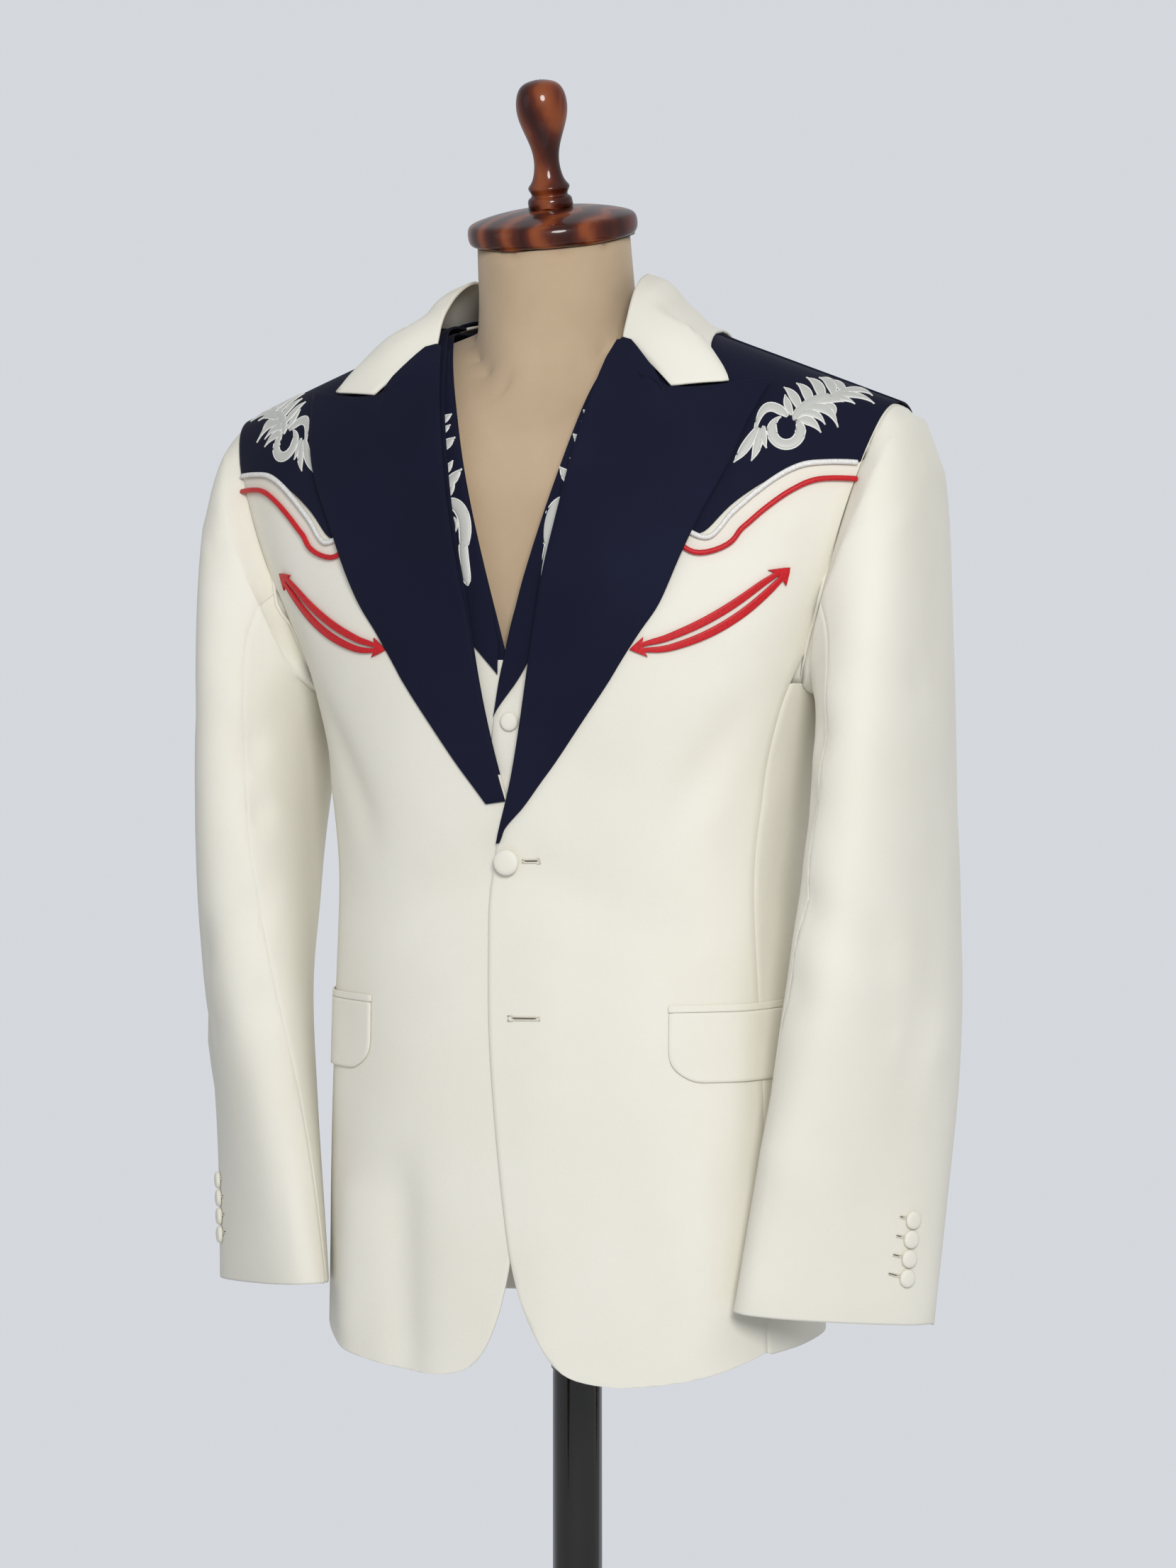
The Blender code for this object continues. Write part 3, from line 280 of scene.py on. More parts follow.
# name, darker colour in the grooves (painted shade with the thread's own tone), lighter colour on
# the ridges, then millimetres from stitch to stitch and roughness
silverThread = threadMaterial("silverThread", (0.50, 0.50, 0.46), (0.92, 0.91, 0.85), 0.55, 0.46)
outlineThread = threadMaterial("outlineThread", (0.76, 0.75, 0.70), (0.91, 0.90, 0.84), 0.5, 0.45)
ivoryThread = threadMaterial("ivoryThread", (0.66, 0.62, 0.52), (0.83, 0.80, 0.71), 0.5, 0.5)
formJersey = jerseyMaterial("formJersey")
varnishedWood = woodMaterial("varnishedWood")
blackMetal = metalMaterial("blackMetal")
# painted shade: the dark colour laid along the buttonholes' slits
paintedSlitShade = plainMaterial("paintedSlitShade", (0.16, 0.14, 0.10), 0.9)
print("materials ready")


# Folds, the same for every layer that lies at one place

folds = (
    # start, end, depth, half width: a trough is negative
    ((0.020, -0.13, 1.086), (0.120, -0.11, 1.035), -0.0016, 0.020),
    ((-0.020, -0.13, 1.090), (-0.125, -0.11, 1.050), -0.0014, 0.018),
    ((0.150, -0.08, 1.205), (0.120, -0.12, 1.120), -0.0020, 0.016),
    ((-0.150, -0.08, 1.205), (-0.118, -0.12, 1.110), -0.0022, 0.015),
    ((0.158, -0.06, 1.130), (0.150, -0.09, 0.900), 0.0016, 0.020),
    ((-0.158, -0.06, 1.140), (-0.148, -0.09, 0.920), 0.0014, 0.018),
    ((0.075, 0.11, 1.210), (0.020, 0.12, 1.100), -0.0018, 0.020),
    ((-0.070, 0.11, 1.200), (-0.022, 0.12, 1.090), -0.0016, 0.018),
    ((0.120, 0.10, 1.260), (0.135, 0.08, 1.120), -0.0018, 0.016),
    ((-0.120, 0.10, 1.255), (-0.138, 0.08, 1.130), -0.0020, 0.017),
    ((0.095, 0.11, 0.960), (0.105, 0.10, 0.757), 0.0030, 0.026),
    ((-0.090, 0.11, 0.950), (-0.100, 0.10, 0.757), 0.0028, 0.024),
    ((0.030, 0.12, 0.920), (0.035, 0.12, 0.757), -0.0024, 0.024),
    ((-0.085, -0.12, 0.860), (-0.080, -0.12, 0.735), -0.0034, 0.018),
    ((-0.125, -0.10, 0.850), (-0.130, -0.10, 0.745), 0.0030, 0.018),
    ((0.120, -0.11, 0.880), (0.128, -0.10, 0.740), 0.0020, 0.024),
)

sleeveFolds = (
    # side, start, end, depth, half width
    (1, (0.205, -0.105, 1.175), (0.262, -0.060, 1.215), -0.0030, 0.013),
    (1, (0.200, -0.100, 1.130), (0.250, -0.080, 1.160), -0.0022, 0.012),
    (1, (0.205, -0.110, 1.070), (0.262, -0.090, 1.030), -0.0028, 0.015),
    (1, (0.200, -0.110, 1.010), (0.255, -0.080, 0.985), -0.0022, 0.013),
    (1, (0.260, 0.010, 1.020), (0.272, -0.040, 0.960), 0.0018, 0.016),
    (1, (0.185, -0.110, 0.900), (0.235, -0.100, 0.860), 0.0018, 0.014),
    (1, (0.262, 0.000, 1.360), (0.270, -0.020, 1.180), 0.0014, 0.020),
    (1, (0.230, 0.050, 1.180), (0.262, 0.020, 1.120), -0.0026, 0.014),
    (-1, (0.205, -0.105, 1.165), (0.258, -0.070, 1.200), -0.0028, 0.013),
    (-1, (0.202, -0.100, 1.120), (0.246, -0.090, 1.135), -0.0026, 0.011),
    (-1, (0.205, -0.110, 1.050), (0.260, -0.095, 1.015), -0.0026, 0.016),
    (-1, (0.200, -0.110, 0.985), (0.250, -0.085, 0.965), -0.0020, 0.012),
    (-1, (0.262, 0.005, 1.000), (0.272, -0.040, 0.940), 0.0020, 0.015),
    (-1, (0.262, 0.000, 1.350), (0.270, -0.020, 1.190), 0.0016, 0.018),
    (-1, (0.230, 0.050, 1.170), (0.262, 0.020, 1.100), -0.0024, 0.015),
)


def smoothStep(low, high, value):
    part = min(max((value - low) / (high - low), 0.0), 1.0)
    return part * part * (3 - 2 * part)


creasing = {
    "strength": 2.0,   # the depths above are taken this many times
    "fadeFrom": 0.8,   # share of a fold's length where it begins to run out
    "fadeOver": 0.45,
    "fadeBy": 0.6,
    "bodyAcross": 0.55,   # the body is so much flatter than it is wide
    "elbow": 0.95,   # height where the sleeve's middle line changes
    "upperArm": (0.236, -0.035),
    "lowerArm": (0.226, -0.052),
}


def foldLift(point, start, end, depth, width):
    start, end = Vector(start), Vector(end)
    along = end - start
    part = (point - start).dot(along) / along.length_squared
    away = (point - start - along * min(max(part, 0.0), 1.0)).length
    faded = min(max(part - creasing["fadeFrom"], 0.0) / creasing["fadeOver"], 1.0)
    return depth * (1.0 - faded * creasing["fadeBy"]) * math.exp(-((away / width) ** 2))


def bodyShift(point):
    outward = Vector((point.x * creasing["bodyAcross"], point.y, 0))
    if outward.length < sameWithin:
        return Vector()
    outward.normalize()
    return outward * sum(foldLift(point, *fold) for fold in folds) * creasing["strength"]


def sleeveShift(point):
    side = 1 if point.x > 0 else -1
    centre = Vector((*creasing["upperArm" if point.z > creasing["elbow"] else "lowerArm"], point.z))
    mirrored = Vector((point.x * side, point.y, point.z))
    outward = mirrored - centre
    if outward.length < sameWithin:
        return Vector()
    outward.normalize()
    lift = sum(foldLift(mirrored, *fold[1:]) for fold in sleeveFolds if fold[0] == side)
    shift = outward * lift * creasing["strength"]
    return Vector((shift.x * side, shift.y, shift.z))


# Cloth pieces made from the solids' own form

holdRounds = 4   # how often the smooth cloth is drawn back to the solid's points
mergeWithin = 0.00002
sameWithin = 1e-6
# triangles are joined to four-sided faces within these angles
flatWithin, squareWithin = math.radians(35), math.radians(50)


def evaluatedMesh(piece):
    piece.data.update_tag()
    bpy.context.view_layer.update()
    evaluated = piece.evaluated_get(bpy.context.evaluated_depsgraph_get())
    return bpy.data.meshes.new_from_object(evaluated)


def softCopy(nodeName, name, levels=2, crease=55, shift=None, rounds=holdRounds):
    # a smooth, finer copy of a node, its rims kept firm by creases
    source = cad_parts[nodeName]
    work = bmesh.new()
    work.from_mesh(source.data)
    bmesh.ops.remove_doubles(work, verts=work.verts, dist=mergeWithin)
    bmesh.ops.join_triangles(
        work, faces=work.faces, angle_face_threshold=flatWithin, angle_shape_threshold=squareWithin,
        cmp_seam=False, cmp_sharp=False, cmp_uvs=False, cmp_vcols=False, cmp_materials=False,
    )
    layer = work.edges.layers.float.new("crease_edge")
    for edge in work.edges:
        if len(edge.link_faces) == 2 and edge.calc_face_angle(0.0) > math.radians(crease):
            edge[layer] = 0.92
    mesh = bpy.data.meshes.new(name)
    work.to_mesh(mesh)
    work.free()
    piece = bpy.data.objects.new(name, mesh)
    bpy.context.scene.collection.objects.link(piece)
    smooth = piece.modifiers.new("smooth", "SUBSURF")
    smooth.levels = levels
    smooth.render_levels = levels
    targets = [vertex.co.copy() for vertex in mesh.vertices]
    for _ in range(rounds):   # the smooth cloth goes through the solid's own points
        made = evaluatedMesh(piece)
        for index, target in enumerate(targets):
            mesh.vertices[index].co += target - made.vertices[index].co
        mesh.update()
        bpy.data.meshes.remove(made)
    made = evaluatedMesh(piece)
    piece.modifiers.clear()
    piece.data = made
    made.name = name
    if shift:
        for vertex in made.vertices:
            vertex.co += shift(vertex.co.copy())
    made.shade_smooth()
    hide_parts(nodeName)
    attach(piece, "root")
    return piece


materialOfSlot = {
    "ivory_wool": ivoryWool,
    "navy_wool": navyWool,
    "red_cord": redSatin,
    "white_cord": whiteSatin,
    "form_linen": formJersey,
    "varnished_wood": varnishedWood,
    "black_metal": blackMetal,
}


def finishPiece(piece, slotName):
    piece.data.materials.clear()
    piece.data.materials.append(materialOfSlot[slotName])
    return piece


clothPieces = {}


def treeOf(piece):
    work = bmesh.new()
    work.from_mesh(piece.data)
    tree = BVHTree.FromBMesh(work)
    work.free()
    return tree


facing = {
    "line": (   # height, then how far the lapel's fold lies from the middle there
        (1.110, 0.000), (1.148, 0.004), (1.200, 0.015), (1.270, 0.027),
        (1.330, 0.040), (1.390, 0.052), (1.448, 0.065),
    ),
    "from": 1.150,
    "width": 0.010,   # past the fold
    "top": 1.41,   # above this height it is wider
    "topWidth": 0.032,
}


def rollAt(height):
    line = facing["line"]
    for (low, a), (high, b) in zip(line, line[1:]):
        if height <= high:
            return a + (b - a) * max(height - low, 0) / (high - low)
    return line[-1][1]


def faceTheFront(front):
    # the navy facing turns over the fold of the lapel and runs down inside
    front.data.materials.append(navyWool)
    for face in front.data.polygons:
        x, y, z = face.center
        width = facing["width"] if z < facing["top"] else facing["topWidth"]
        if z > facing["from"] and y < 0 and abs(x) < rollAt(z) + width:
            face.material_index = 1


gorge = {
    "inner": (0.068, 0.076),   # from the middle: where the lapel's top begins to run up
    "outer": (0.108, 0.095),   # and where it stops
    "edge": (0.069, 1.447),   # a place on the collar's edge, which falls 1 in 1 from there
    "reach": (0.016, 0.003),   # below the edge: where the run begins and is full
    "outward": 0.0028,
    "rise": 0.0036,
}


def lapelShift(point):
    # the top of the lapel runs up under the collar's edge at the gorge
    across = abs(point.x)
    edge = gorge["edge"][1] - (across - gorge["edge"][0])
    share = smoothStep(*gorge["inner"], across) * smoothStep(*gorge["outer"], across)
    share *= smoothStep(edge - gorge["reach"][0], edge - gorge["reach"][1], point.z)
    away = Vector((math.copysign(gorge["outward"], point.x), 0, gorge["rise"]))
    return bodyShift(point) + away * share


collarLay = {
    "drop": 0.50,   # behind the neck the roll is lower by this share of its height over the yokes
    "dropOver": (-0.035, 0.010),   # front to back, where the drop begins and is full
    "kept": 0.003,   # height that never drops
    "leafFrom": (0.078, 0.108),   # from the middle, where the leaf begins to lie down
    "leafBehind": (-0.082, -0.066),
    "clear": 0.0008,   # between the leaf and the yokes
    "wall": 0.0020,   # the upper side lies higher by the cloth's thickness
}


def layCollar(collar):
    # the collar's leaf lies down on the yokes beside the neck
    yokes = ("yoke_front_left", "yoke_front_right", "yoke_back")
    trees = [treeOf(clothPieces[name]) for name in yokes]
    for vertex in collar.data.vertices:
        over = min(tree.find_nearest(vertex.co)[3] for tree in trees)
        drop = collarLay["drop"] * max(over - collarLay["kept"], 0.0)
        vertex.co.z -= drop * smoothStep(*collarLay["dropOver"], vertex.co.y)
    for vertex in collar.data.vertices:
        spot = vertex.co
        share = smoothStep(*collarLay["leafFrom"], abs(spot.x))
        share *= smoothStep(*collarLay["leafBehind"], spot.y)
        if share == 0:
            continue
        nearest = min((tree.find_nearest(spot) for tree in trees), key=lambda found: found[3])
        over = nearest[3] - collarLay["clear"] - (collarLay["wall"] if vertex.normal.z > 0 else 0.0)
        if over > 0:
            vertex.co = spot + (nearest[0] - spot).normalized() * over * share


cordRun = {
    "endFrom": (0.200, 0.224),   # from the middle, where a cord turns to the armhole
    "endOutward": 0.0060,
    "endInward": 0.0045,   # in towards the middle of the body, fore and aft
    "whiteRise": 0.0014,   # the white cord is drawn up to the yoke's edge
    "slopeRise": 0.0020,   # and more where the front yoke's edge slopes
    "slopeFrom": (0.143, 0.158),
    "slopeTo": (0.212, 0.190),
}


def cordShift(point):
    # a yoke's cord runs on to the armhole
    outward = math.copysign(cordRun["endOutward"], point.x)
    inward = cordRun["endInward"] if point.y < 0 else -cordRun["endInward"]
    end = smoothStep(*cordRun["endFrom"], abs(point.x))
    return bodyShift(point) + Vector((outward, inward, 0)) * end


def whiteCordShift(point):
    # the white cord lies right at the yoke's edge
    slope = 0
    if point.y < 0:
        across = abs(point.x)
        slope = smoothStep(*cordRun["slopeFrom"], across) * smoothStep(*cordRun["slopeTo"], across)
    return cordShift(point) + up * (cordRun["whiteRise"] + cordRun["slopeRise"] * slope)


ridge = {"from": 0.080, "to": 0.222, "steps": 30, "radius": 0.0013}


def buildRidges():
    # the shoulder seams, where the front yokes meet the back yoke
    for word, side in (("left", 1), ("right", -1)):
        line = {}
        for vertex in clothPieces[f"yoke_front_{word}"].data.vertices:
            part = (vertex.co.x * side - ridge["from"]) / (ridge["to"] - ridge["from"])
            step = round(part * ridge["steps"])
            if 0 <= step <= ridge["steps"] and (step not in line or vertex.co.y > line[step].y):
                line[step] = vertex.co.copy()
        spots = [line[step] for step in sorted(line)]
        for _ in range(3):
            between = [(a + b * 2 + c) / 4 for a, b, c in zip(spots, spots[1:], spots[2:])]
            spots = spots[:1] + between + spots[-1:]
        work = bmesh.new()
        threadLine(work, spots, ridge["radius"])
        finishThread(work, f"shoulder_seam_{word}", navyWool)


jacketPieces = (
    # kind, slot, how its cloth is shifted, rounds of drawing back
    ("jacket_front", "ivory_wool", bodyShift, holdRounds),
    ("jacket_side", "ivory_wool", bodyShift, holdRounds),
    ("jacket_back", "ivory_wool", bodyShift, holdRounds),
    ("lapel", "navy_wool", lapelShift, holdRounds),
    ("yoke_front", "navy_wool", bodyShift, holdRounds),
    ("pocket_flap", "ivory_wool", bodyShift, 0),   # its corner is left to round itself
    ("topsleeve", "ivory_wool", sleeveShift, holdRounds),
    ("undersleeve", "ivory_wool", sleeveShift, holdRounds),
    ("flap_welt", "ivory_wool", bodyShift, holdRounds),
)


def buildJacketCloth():
    for word in ("left", "right"):
        for kind, slotName, shift, rounds in jacketPieces:
            shown = softCopy(f"{kind}_{word}", f"{kind}_cloth_{word}", 2, 55, shift, rounds)
            clothPieces[f"{kind}_{word}"] = finishPiece(shown, slotName)
        faceTheFront(clothPieces[f"jacket_front_{word}"])
    yoke = softCopy("yoke_back", "yoke_back_cloth", 2, 55, bodyShift)
    clothPieces["yoke_back"] = finishPiece(yoke, "navy_wool")
    collar = finishPiece(softCopy("collar", "collar_cloth"), "ivory_wool")
    layCollar(collar)
    print("jacket cloth ready")


waistcoat = {
    "lap": 1.232,   # below this height the fronts are ivory to their edge
    "neck": 1.40,   # above it they are navy all over
    "level": 0.006,   # the lapel's edge is read once in each such height
    "turnIn": 0.004,
    "backInward": 0.0030,   # the back lies close to the form, clear of the jacket
    "sideInward": 0.0035,   # and closer out at the sides
    "sideFrom": (0.08, 0.13),
    "narrower": 0.035,
    "backFrom": (-0.03, 0.02),
}


def faceTheNeckline(front, lapel):
    # the lapel's cloth is turned in round the neckline of the waistcoat
    edge = {}
    for vertex in lapel.data.vertices:
        level = round(vertex.co.z / waistcoat["level"])
        edge[level] = min(edge.get(level, 1.0), abs(vertex.co.x))
    front.data.materials.append(navyWool)
    for face in front.data.polygons:
        x, y, z = face.center
        turned = edge.get(round(z / waistcoat["level"]), 0.0) + waistcoat["turnIn"]
        if y < 0 and z > waistcoat["lap"] and (z > waistcoat["neck"] or abs(x) < turned):
            face.material_index = 1


def vestBackShift(point):
    side = smoothStep(*waistcoat["sideFrom"], abs(point.x))
    inward = waistcoat["backInward"] + waistcoat["sideInward"] * side
    share = smoothStep(*waistcoat["backFrom"], point.y)
    return bodyShift(point) - Vector((point.x * waistcoat["narrower"], inward, 0)) * share


def buildVestCloth():
    for word in ("left", "right"):
        front = softCopy(f"vest_front_{word}", f"vest_front_cloth_{word}", 2, 55, bodyShift)
        finishPiece(front, "ivory_wool")
        lapel = softCopy(f"vest_lapel_{word}", f"vest_lapel_cloth_{word}", 2, 55, bodyShift)
        finishPiece(lapel, "navy_wool")
        faceTheNeckline(front, lapel)
        clothPieces[f"vest_lapel_{word}"] = lapel
    finishPiece(softCopy("vest_button", "vest_button_cloth", 2, 80, bodyShift), "ivory_wool")
    back = softCopy("vest_back", "vest_back_cloth", 2, 55, vestBackShift)
    finishPiece(back, "navy_wool")
    print("waistcoat ready")


neckBlend = {"from": 1.36, "to": 1.50, "rounds": 24}


def easeVertices(work, vertices, rounds):
    for _ in range(rounds):
        bmesh.ops.smooth_vert(
            work, verts=vertices, factor=0.5, use_axis_x=True, use_axis_y=True, use_axis_z=True,
        )


def buildForm():
    torso = softCopy("form_torso", "form_body", 2, 70, bodyShift, 0)
    work = bmesh.new()
    work.from_mesh(torso.data)
    for _ in range(neckBlend["rounds"]):   # the neck runs softly into the shoulders
        near = [
            vertex for vertex in work.verts
            if neckBlend["from"] < vertex.co.z < neckBlend["to"]
        ]
        easeVertices(work, near, 1)
    work.to_mesh(torso.data)
    work.free()
    finishPiece(torso, "form_linen")
    for node, name in (("neck_cap", "cap_disc"), ("cap_handle", "cap_knob")):
        finishPiece(softCopy(node, name, 3, 75), "varnished_wood")
    for node in ("pole_upper", "pole_ring", "pole_lower", "base"):
        finishPiece(softCopy(node, node + "_metal", 2, 40), "black_metal")
    print("form ready")


armhole = {
    "middle": (-0.015, 1.302),   # fore and aft, height
    "steps": 56,
    "lowest": 1.19,
    "reach": 0.012,   # how far the sleeve's seam allowance runs in under the front and the back
    "under": 0.016,   # how much farther below the arm
    "outside": 0.0015,   # how far it begins outside the seam
    "narrow": 0.82,
    "flareBehind": 0.30,   # below the arm it widens to meet the back, the side and the front
    "flareBefore": 0.06,
    "underBefore": (1.255, 1.215),   # heights between which it turns to lie below the arm
    "underBehind": (1.290, 1.240),
    "cloth": 0.0008,
    "eased": 0.040,   # how far from its seam the sleeve's head is eased
    "easing": 14,
    "easedFrom": 1.275,   # height where the easing begins, and where it is full
    "easedAbove": 1.335,
    "firm": 0.6,   # radians: an edge bent more than this isn't eased
    "roll": 0.0013,   # radius of the soft roll in the seam
    "sunk": 0.0012,
}


def armholeStep(spot):
    turn = math.atan2(spot.z - armhole["middle"][1], spot.y - armhole["middle"][0])
    return round(turn / (2 * math.pi) * armhole["steps"]) % armhole["steps"]


def headRim(word, side):
    # the rim of the sleeve's head, step by step round the armhole
    rim = {}
    for kind in ("topsleeve", "undersleeve"):
        for vertex in clothPieces[f"{kind}_{word}"].data.vertices:
            if vertex.co.z <= armhole["lowest"]:
                continue
            step = armholeStep(vertex.co)
            if step not in rim or vertex.co.x * side < rim[step].x * side:
                rim[step] = vertex.co.copy()
    spots = [rim[step] for step in sorted(rim)]
    count = len(spots)
    for _ in range(2):
        spots = [(spots[i - 1] + spots[i] * 2 + spots[(i + 1) % count]) / 4 for i in range(count)]
    return spots


def easeHead(sleeve, rim):
    # the sleeve's head runs out of its seam without a bend
    work = bmesh.new()
    work.from_mesh(sleeve.data)
    before = {}
    for vertex in work.verts:
        if vertex.co.z < armhole["easedFrom"]:
            continue
        away = min((vertex.co - spot).length for spot in rim)
        firm = any(edge.calc_face_angle(0.0) > armhole["firm"] for edge in vertex.link_edges)
        if away < armhole["eased"] and not firm:
            before[vertex] = vertex.co.copy()
    easeVertices(work, list(before), armhole["easing"])
    for vertex, spot in before.items():
        share = smoothStep(armhole["easedFrom"], armhole["easedAbove"], spot.z)
        vertex.co = spot.lerp(vertex.co, share)
    work.to_mesh(sleeve.data)
    work.free()


def turnedIn(spot, part, side):
    # a place on the seam allowance: part runs from 0 at the sleeve to 1 at its inner edge
    middleY, middleZ = armhole["middle"]
    low = smoothStep(*armhole["underBefore" if spot.y < 0 else "underBehind"], spot.z)
    flare = armhole["flareBehind" if spot.y > 0 else "flareBefore"]
    size = 1 + part * ((armhole["narrow"] - 1) * (1 - low) + flare * low)
    inward = (armhole["reach"] + armhole["under"] * low) * part - armhole["outside"]
    return Vector((
        spot.x - side * inward,
        middleY + (spot.y - middleY) * size,
        middleZ + (spot.z - middleZ) * size,
    ))


def buildArmholes():
    # the seam allowance of each sleeve's head, turned in under the body's edge
    for word, side in (("left", 1), ("right", -1)):
        rim = headRim(word, side)
        for kind in ("topsleeve", "undersleeve"):
            easeHead(clothPieces[f"{kind}_{word}"], rim)
        seam = bmesh.new()
        sunk = Vector((side * armhole["sunk"], 0, 0))
        threadLine(seam, [spot - sunk for spot in rim], armhole["roll"], closed=True)
        finishThread(seam, f"armhole_roll_{word}", ivoryWool)
        work = bmesh.new()
        count = len(rim)
        made = bmesh.ops.create_grid(work, x_segments=count, y_segments=2, size=0.5)
        for vertex in made["verts"]:
            spot = rim[round((vertex.co.x + 0.5) * count) % count]
            vertex.co = turnedIn(spot, vertex.co.y + 0.5, side)
        bmesh.ops.remove_doubles(work, verts=made["verts"], dist=sameWithin)
        name = f"armhole_seam_{word}"
        piece = finishThread(work, name, ivoryWool, armhole["cloth"])
    print("armholes ready")


def buildTrims():
    for word in ("left", "right"):
        for colour, shift in (("white", whiteCordShift), ("red", cordShift)):
            name = f"yoke_cord_{colour}_{word}"
            cord = softCopy(f"yoke_piping_{colour}_{word}", name, 2, 75, shift)
            finishPiece(cord, f"{colour}_cord")
        welts = softCopy(f"smile_pocket_{word}", f"smile_welts_{word}", 2, 50, bodyShift)
        finishPiece(welts, "red_cord")
        for number in (1, 2, 3, 4):
            name = f"cuff_button_cloth_{word}_{number}"
            button = softCopy(f"cuff_button_{word}_{number}", name, 2, 80)
            finishPiece(button, "ivory_wool")
    for colour in ("white", "red"):
        cord = softCopy(f"back_piping_{colour}", f"back_cord_{colour}", 2, 75, cordShift)
        finishPiece(cord, f"{colour}_cord")
    finishPiece(softCopy("jacket_button", "front_button_cloth", 2, 80), "ivory_wool")
    print("trims ready")


# Embroidery and worked buttonholes, laid on the cloth that is already made

view = {
    "azimuth": 21.5,   # degrees round the suit
    "distance": 2.575,
    "height": 1.222,
    "lens": 82.2,
    "sensor": 36,
    "shift": (0.0066, -0.0705),
    "imageSize": (1659, 2212),
}
viewTurn = math.radians(view["azimuth"])
viewPlace = Vector((math.sin(viewTurn), -math.cos(viewTurn), 0)) * view["distance"]
viewPlace += up * view["height"]


def sightLine(x, y):
    # the direction from the camera through a place in the picture
    wide, tall = view["imageSize"]
    focus = view["lens"] / view["sensor"] * tall
    right = (x - wide / 2 + view["shift"][0] * tall) / focus
    rise = (tall / 2 - y + view["shift"][1] * tall) / focus
    ahead = Vector((-math.sin(viewTurn), math.cos(viewTurn), 0))
    across = Vector((math.cos(viewTurn), math.sin(viewTurn), 0))
    return (ahead + across * right + up * rise).normalized()


embroidery = {
    "raise": 0.00075,   # how far the middle of a leaf stands over its rim
    "base": 0.0003,   # how far the rim stands over the cloth
    "backing": 0.0004,   # thickness of the stitched layer
    "outline": 0.00055,   # radius of the cord round each leaf
    "along": 14,   # steps along a leaf, twice as many round a ring
    "across": 6,
    "overEdge": 0.009,   # how far beside the cloth a leaf may be drawn before it is left out
}


def placeOn(tree, x, y, reach):
    # where the line of sight meets the cloth, or the cloth's edge if it passes just beside it
    spot, normal, _, _ = tree.ray_cast(viewPlace, sightLine(x, y))
    if spot:
        return spot, normal
    ahead = sightLine(x, y)
    for _ in range(5):
        beside = viewPlace + ahead * reach
        spot, normal, _, _ = tree.find_nearest(beside)
        reach = (spot - viewPlace).dot(ahead)
    return (spot, normal) if (spot - beside).length < embroidery["overEdge"] else None


def leafSpine(base, middle, tip, kind, part):
    # a smooth line through three places, or a ring: its middle, first and last angle, radius
    if kind == "ring":
        turn = math.radians(middle[0] + (middle[1] - middle[0]) * part)
        return [base[0] + tip * math.cos(turn), base[1] + tip * math.sin(turn)]
    bend = [2 * b - (a + c) / 2 for a, b, c in zip(base, middle, tip)]
    keep = 1 - part
    return [
        keep * keep * a + 2 * keep * part * b + part * part * c
        for a, b, c in zip(base, bend, tip)
    ]


def leafWidth(part, kind):
    if kind == "leaf":   # widest before the middle, pointed at the tip
        return max(math.sin(math.pi * min(part * 0.92 + 0.12, 1.0)), 0.02)
    if kind == "band":   # even, with rounded ends
        return max(min(1.0, math.sqrt(max(1 - abs(2 * part - 1) ** 5, 0.0))), 0.05)
    if kind == "ring":   # pointed where it begins, cut off under a leaf where it ends
        return max(min(1.0, part * 4.5), 0.05) * min(1.0, (1 - part) * 5 + 0.35)
    return max(min(1.0, (1 - part) * 1.6 + 0.12) * min(1.0, part * 6 + 0.3), 0.05)   # a tail


def stretchUvs(work, vertices, length):
    # the UVs count millimetres along the piece
    layer = work.loops.layers.uv.verify()
    for face in {face for vertex in vertices for face in vertex.link_faces}:
        for loop in face.loops:
            loop[layer].uv.x *= length * 1000


def stitchedLeaf(work, place, base, middle, tip, width, kind, mirror):
    # one leaf of satin stitches: a grid laid on the cloth, domed, then given a back
    along, across = embroidery["along"] * (2 if kind == "ring" else 1), embroidery["across"]
    step = 0.02   # of the leaf's length, for the way it runs
    spots = {}
    for i in range(along + 1):
        part = i / along
        x, y = leafSpine(base, middle, tip, kind, part)
        before = leafSpine(base, middle, tip, kind, max(part - step, 0))
        after = leafSpine(base, middle, tip, kind, min(part + step, 1))
        run = Vector((after[0] - before[0], after[1] - before[1])).normalized()
        half = width / 2 * leafWidth(part, kind)
        for j in range(across + 1):
            side = j / across * 2 - 1
            found = place(x - run.y * half * side, y + run.x * half * side)
            if not found:
                return
            spot, normal = found
            dome = math.sqrt(max(1 - side * side, 0.0))
            spots[i, j] = spot + normal * (embroidery["raise"] * dome + embroidery["base"])
    made = bmesh.ops.create_grid(work, x_segments=along, y_segments=across, size=0.5, calc_uvs=True)
    middle = [spots[i, across // 2] for i in range(along + 1)]
    length = sum((after - before).length for before, after in zip(middle, middle[1:]))
    for vertex in made["verts"]:
        i, j = round((vertex.co.x + 0.5) * along), round((vertex.co.y + 0.5) * across)
        vertex.co = spots[i, j]
    stretchUvs(work, made["verts"], length)
    if mirror:
        for vertex in made["verts"]:
            vertex.co.x *= -1
    rim = [spots[i, 0] for i in range(along + 1)] + [spots[i, across] for i in range(along, -1, -1)]
    return [Vector((-p.x if mirror else p.x, p.y, p.z)) for p in rim]


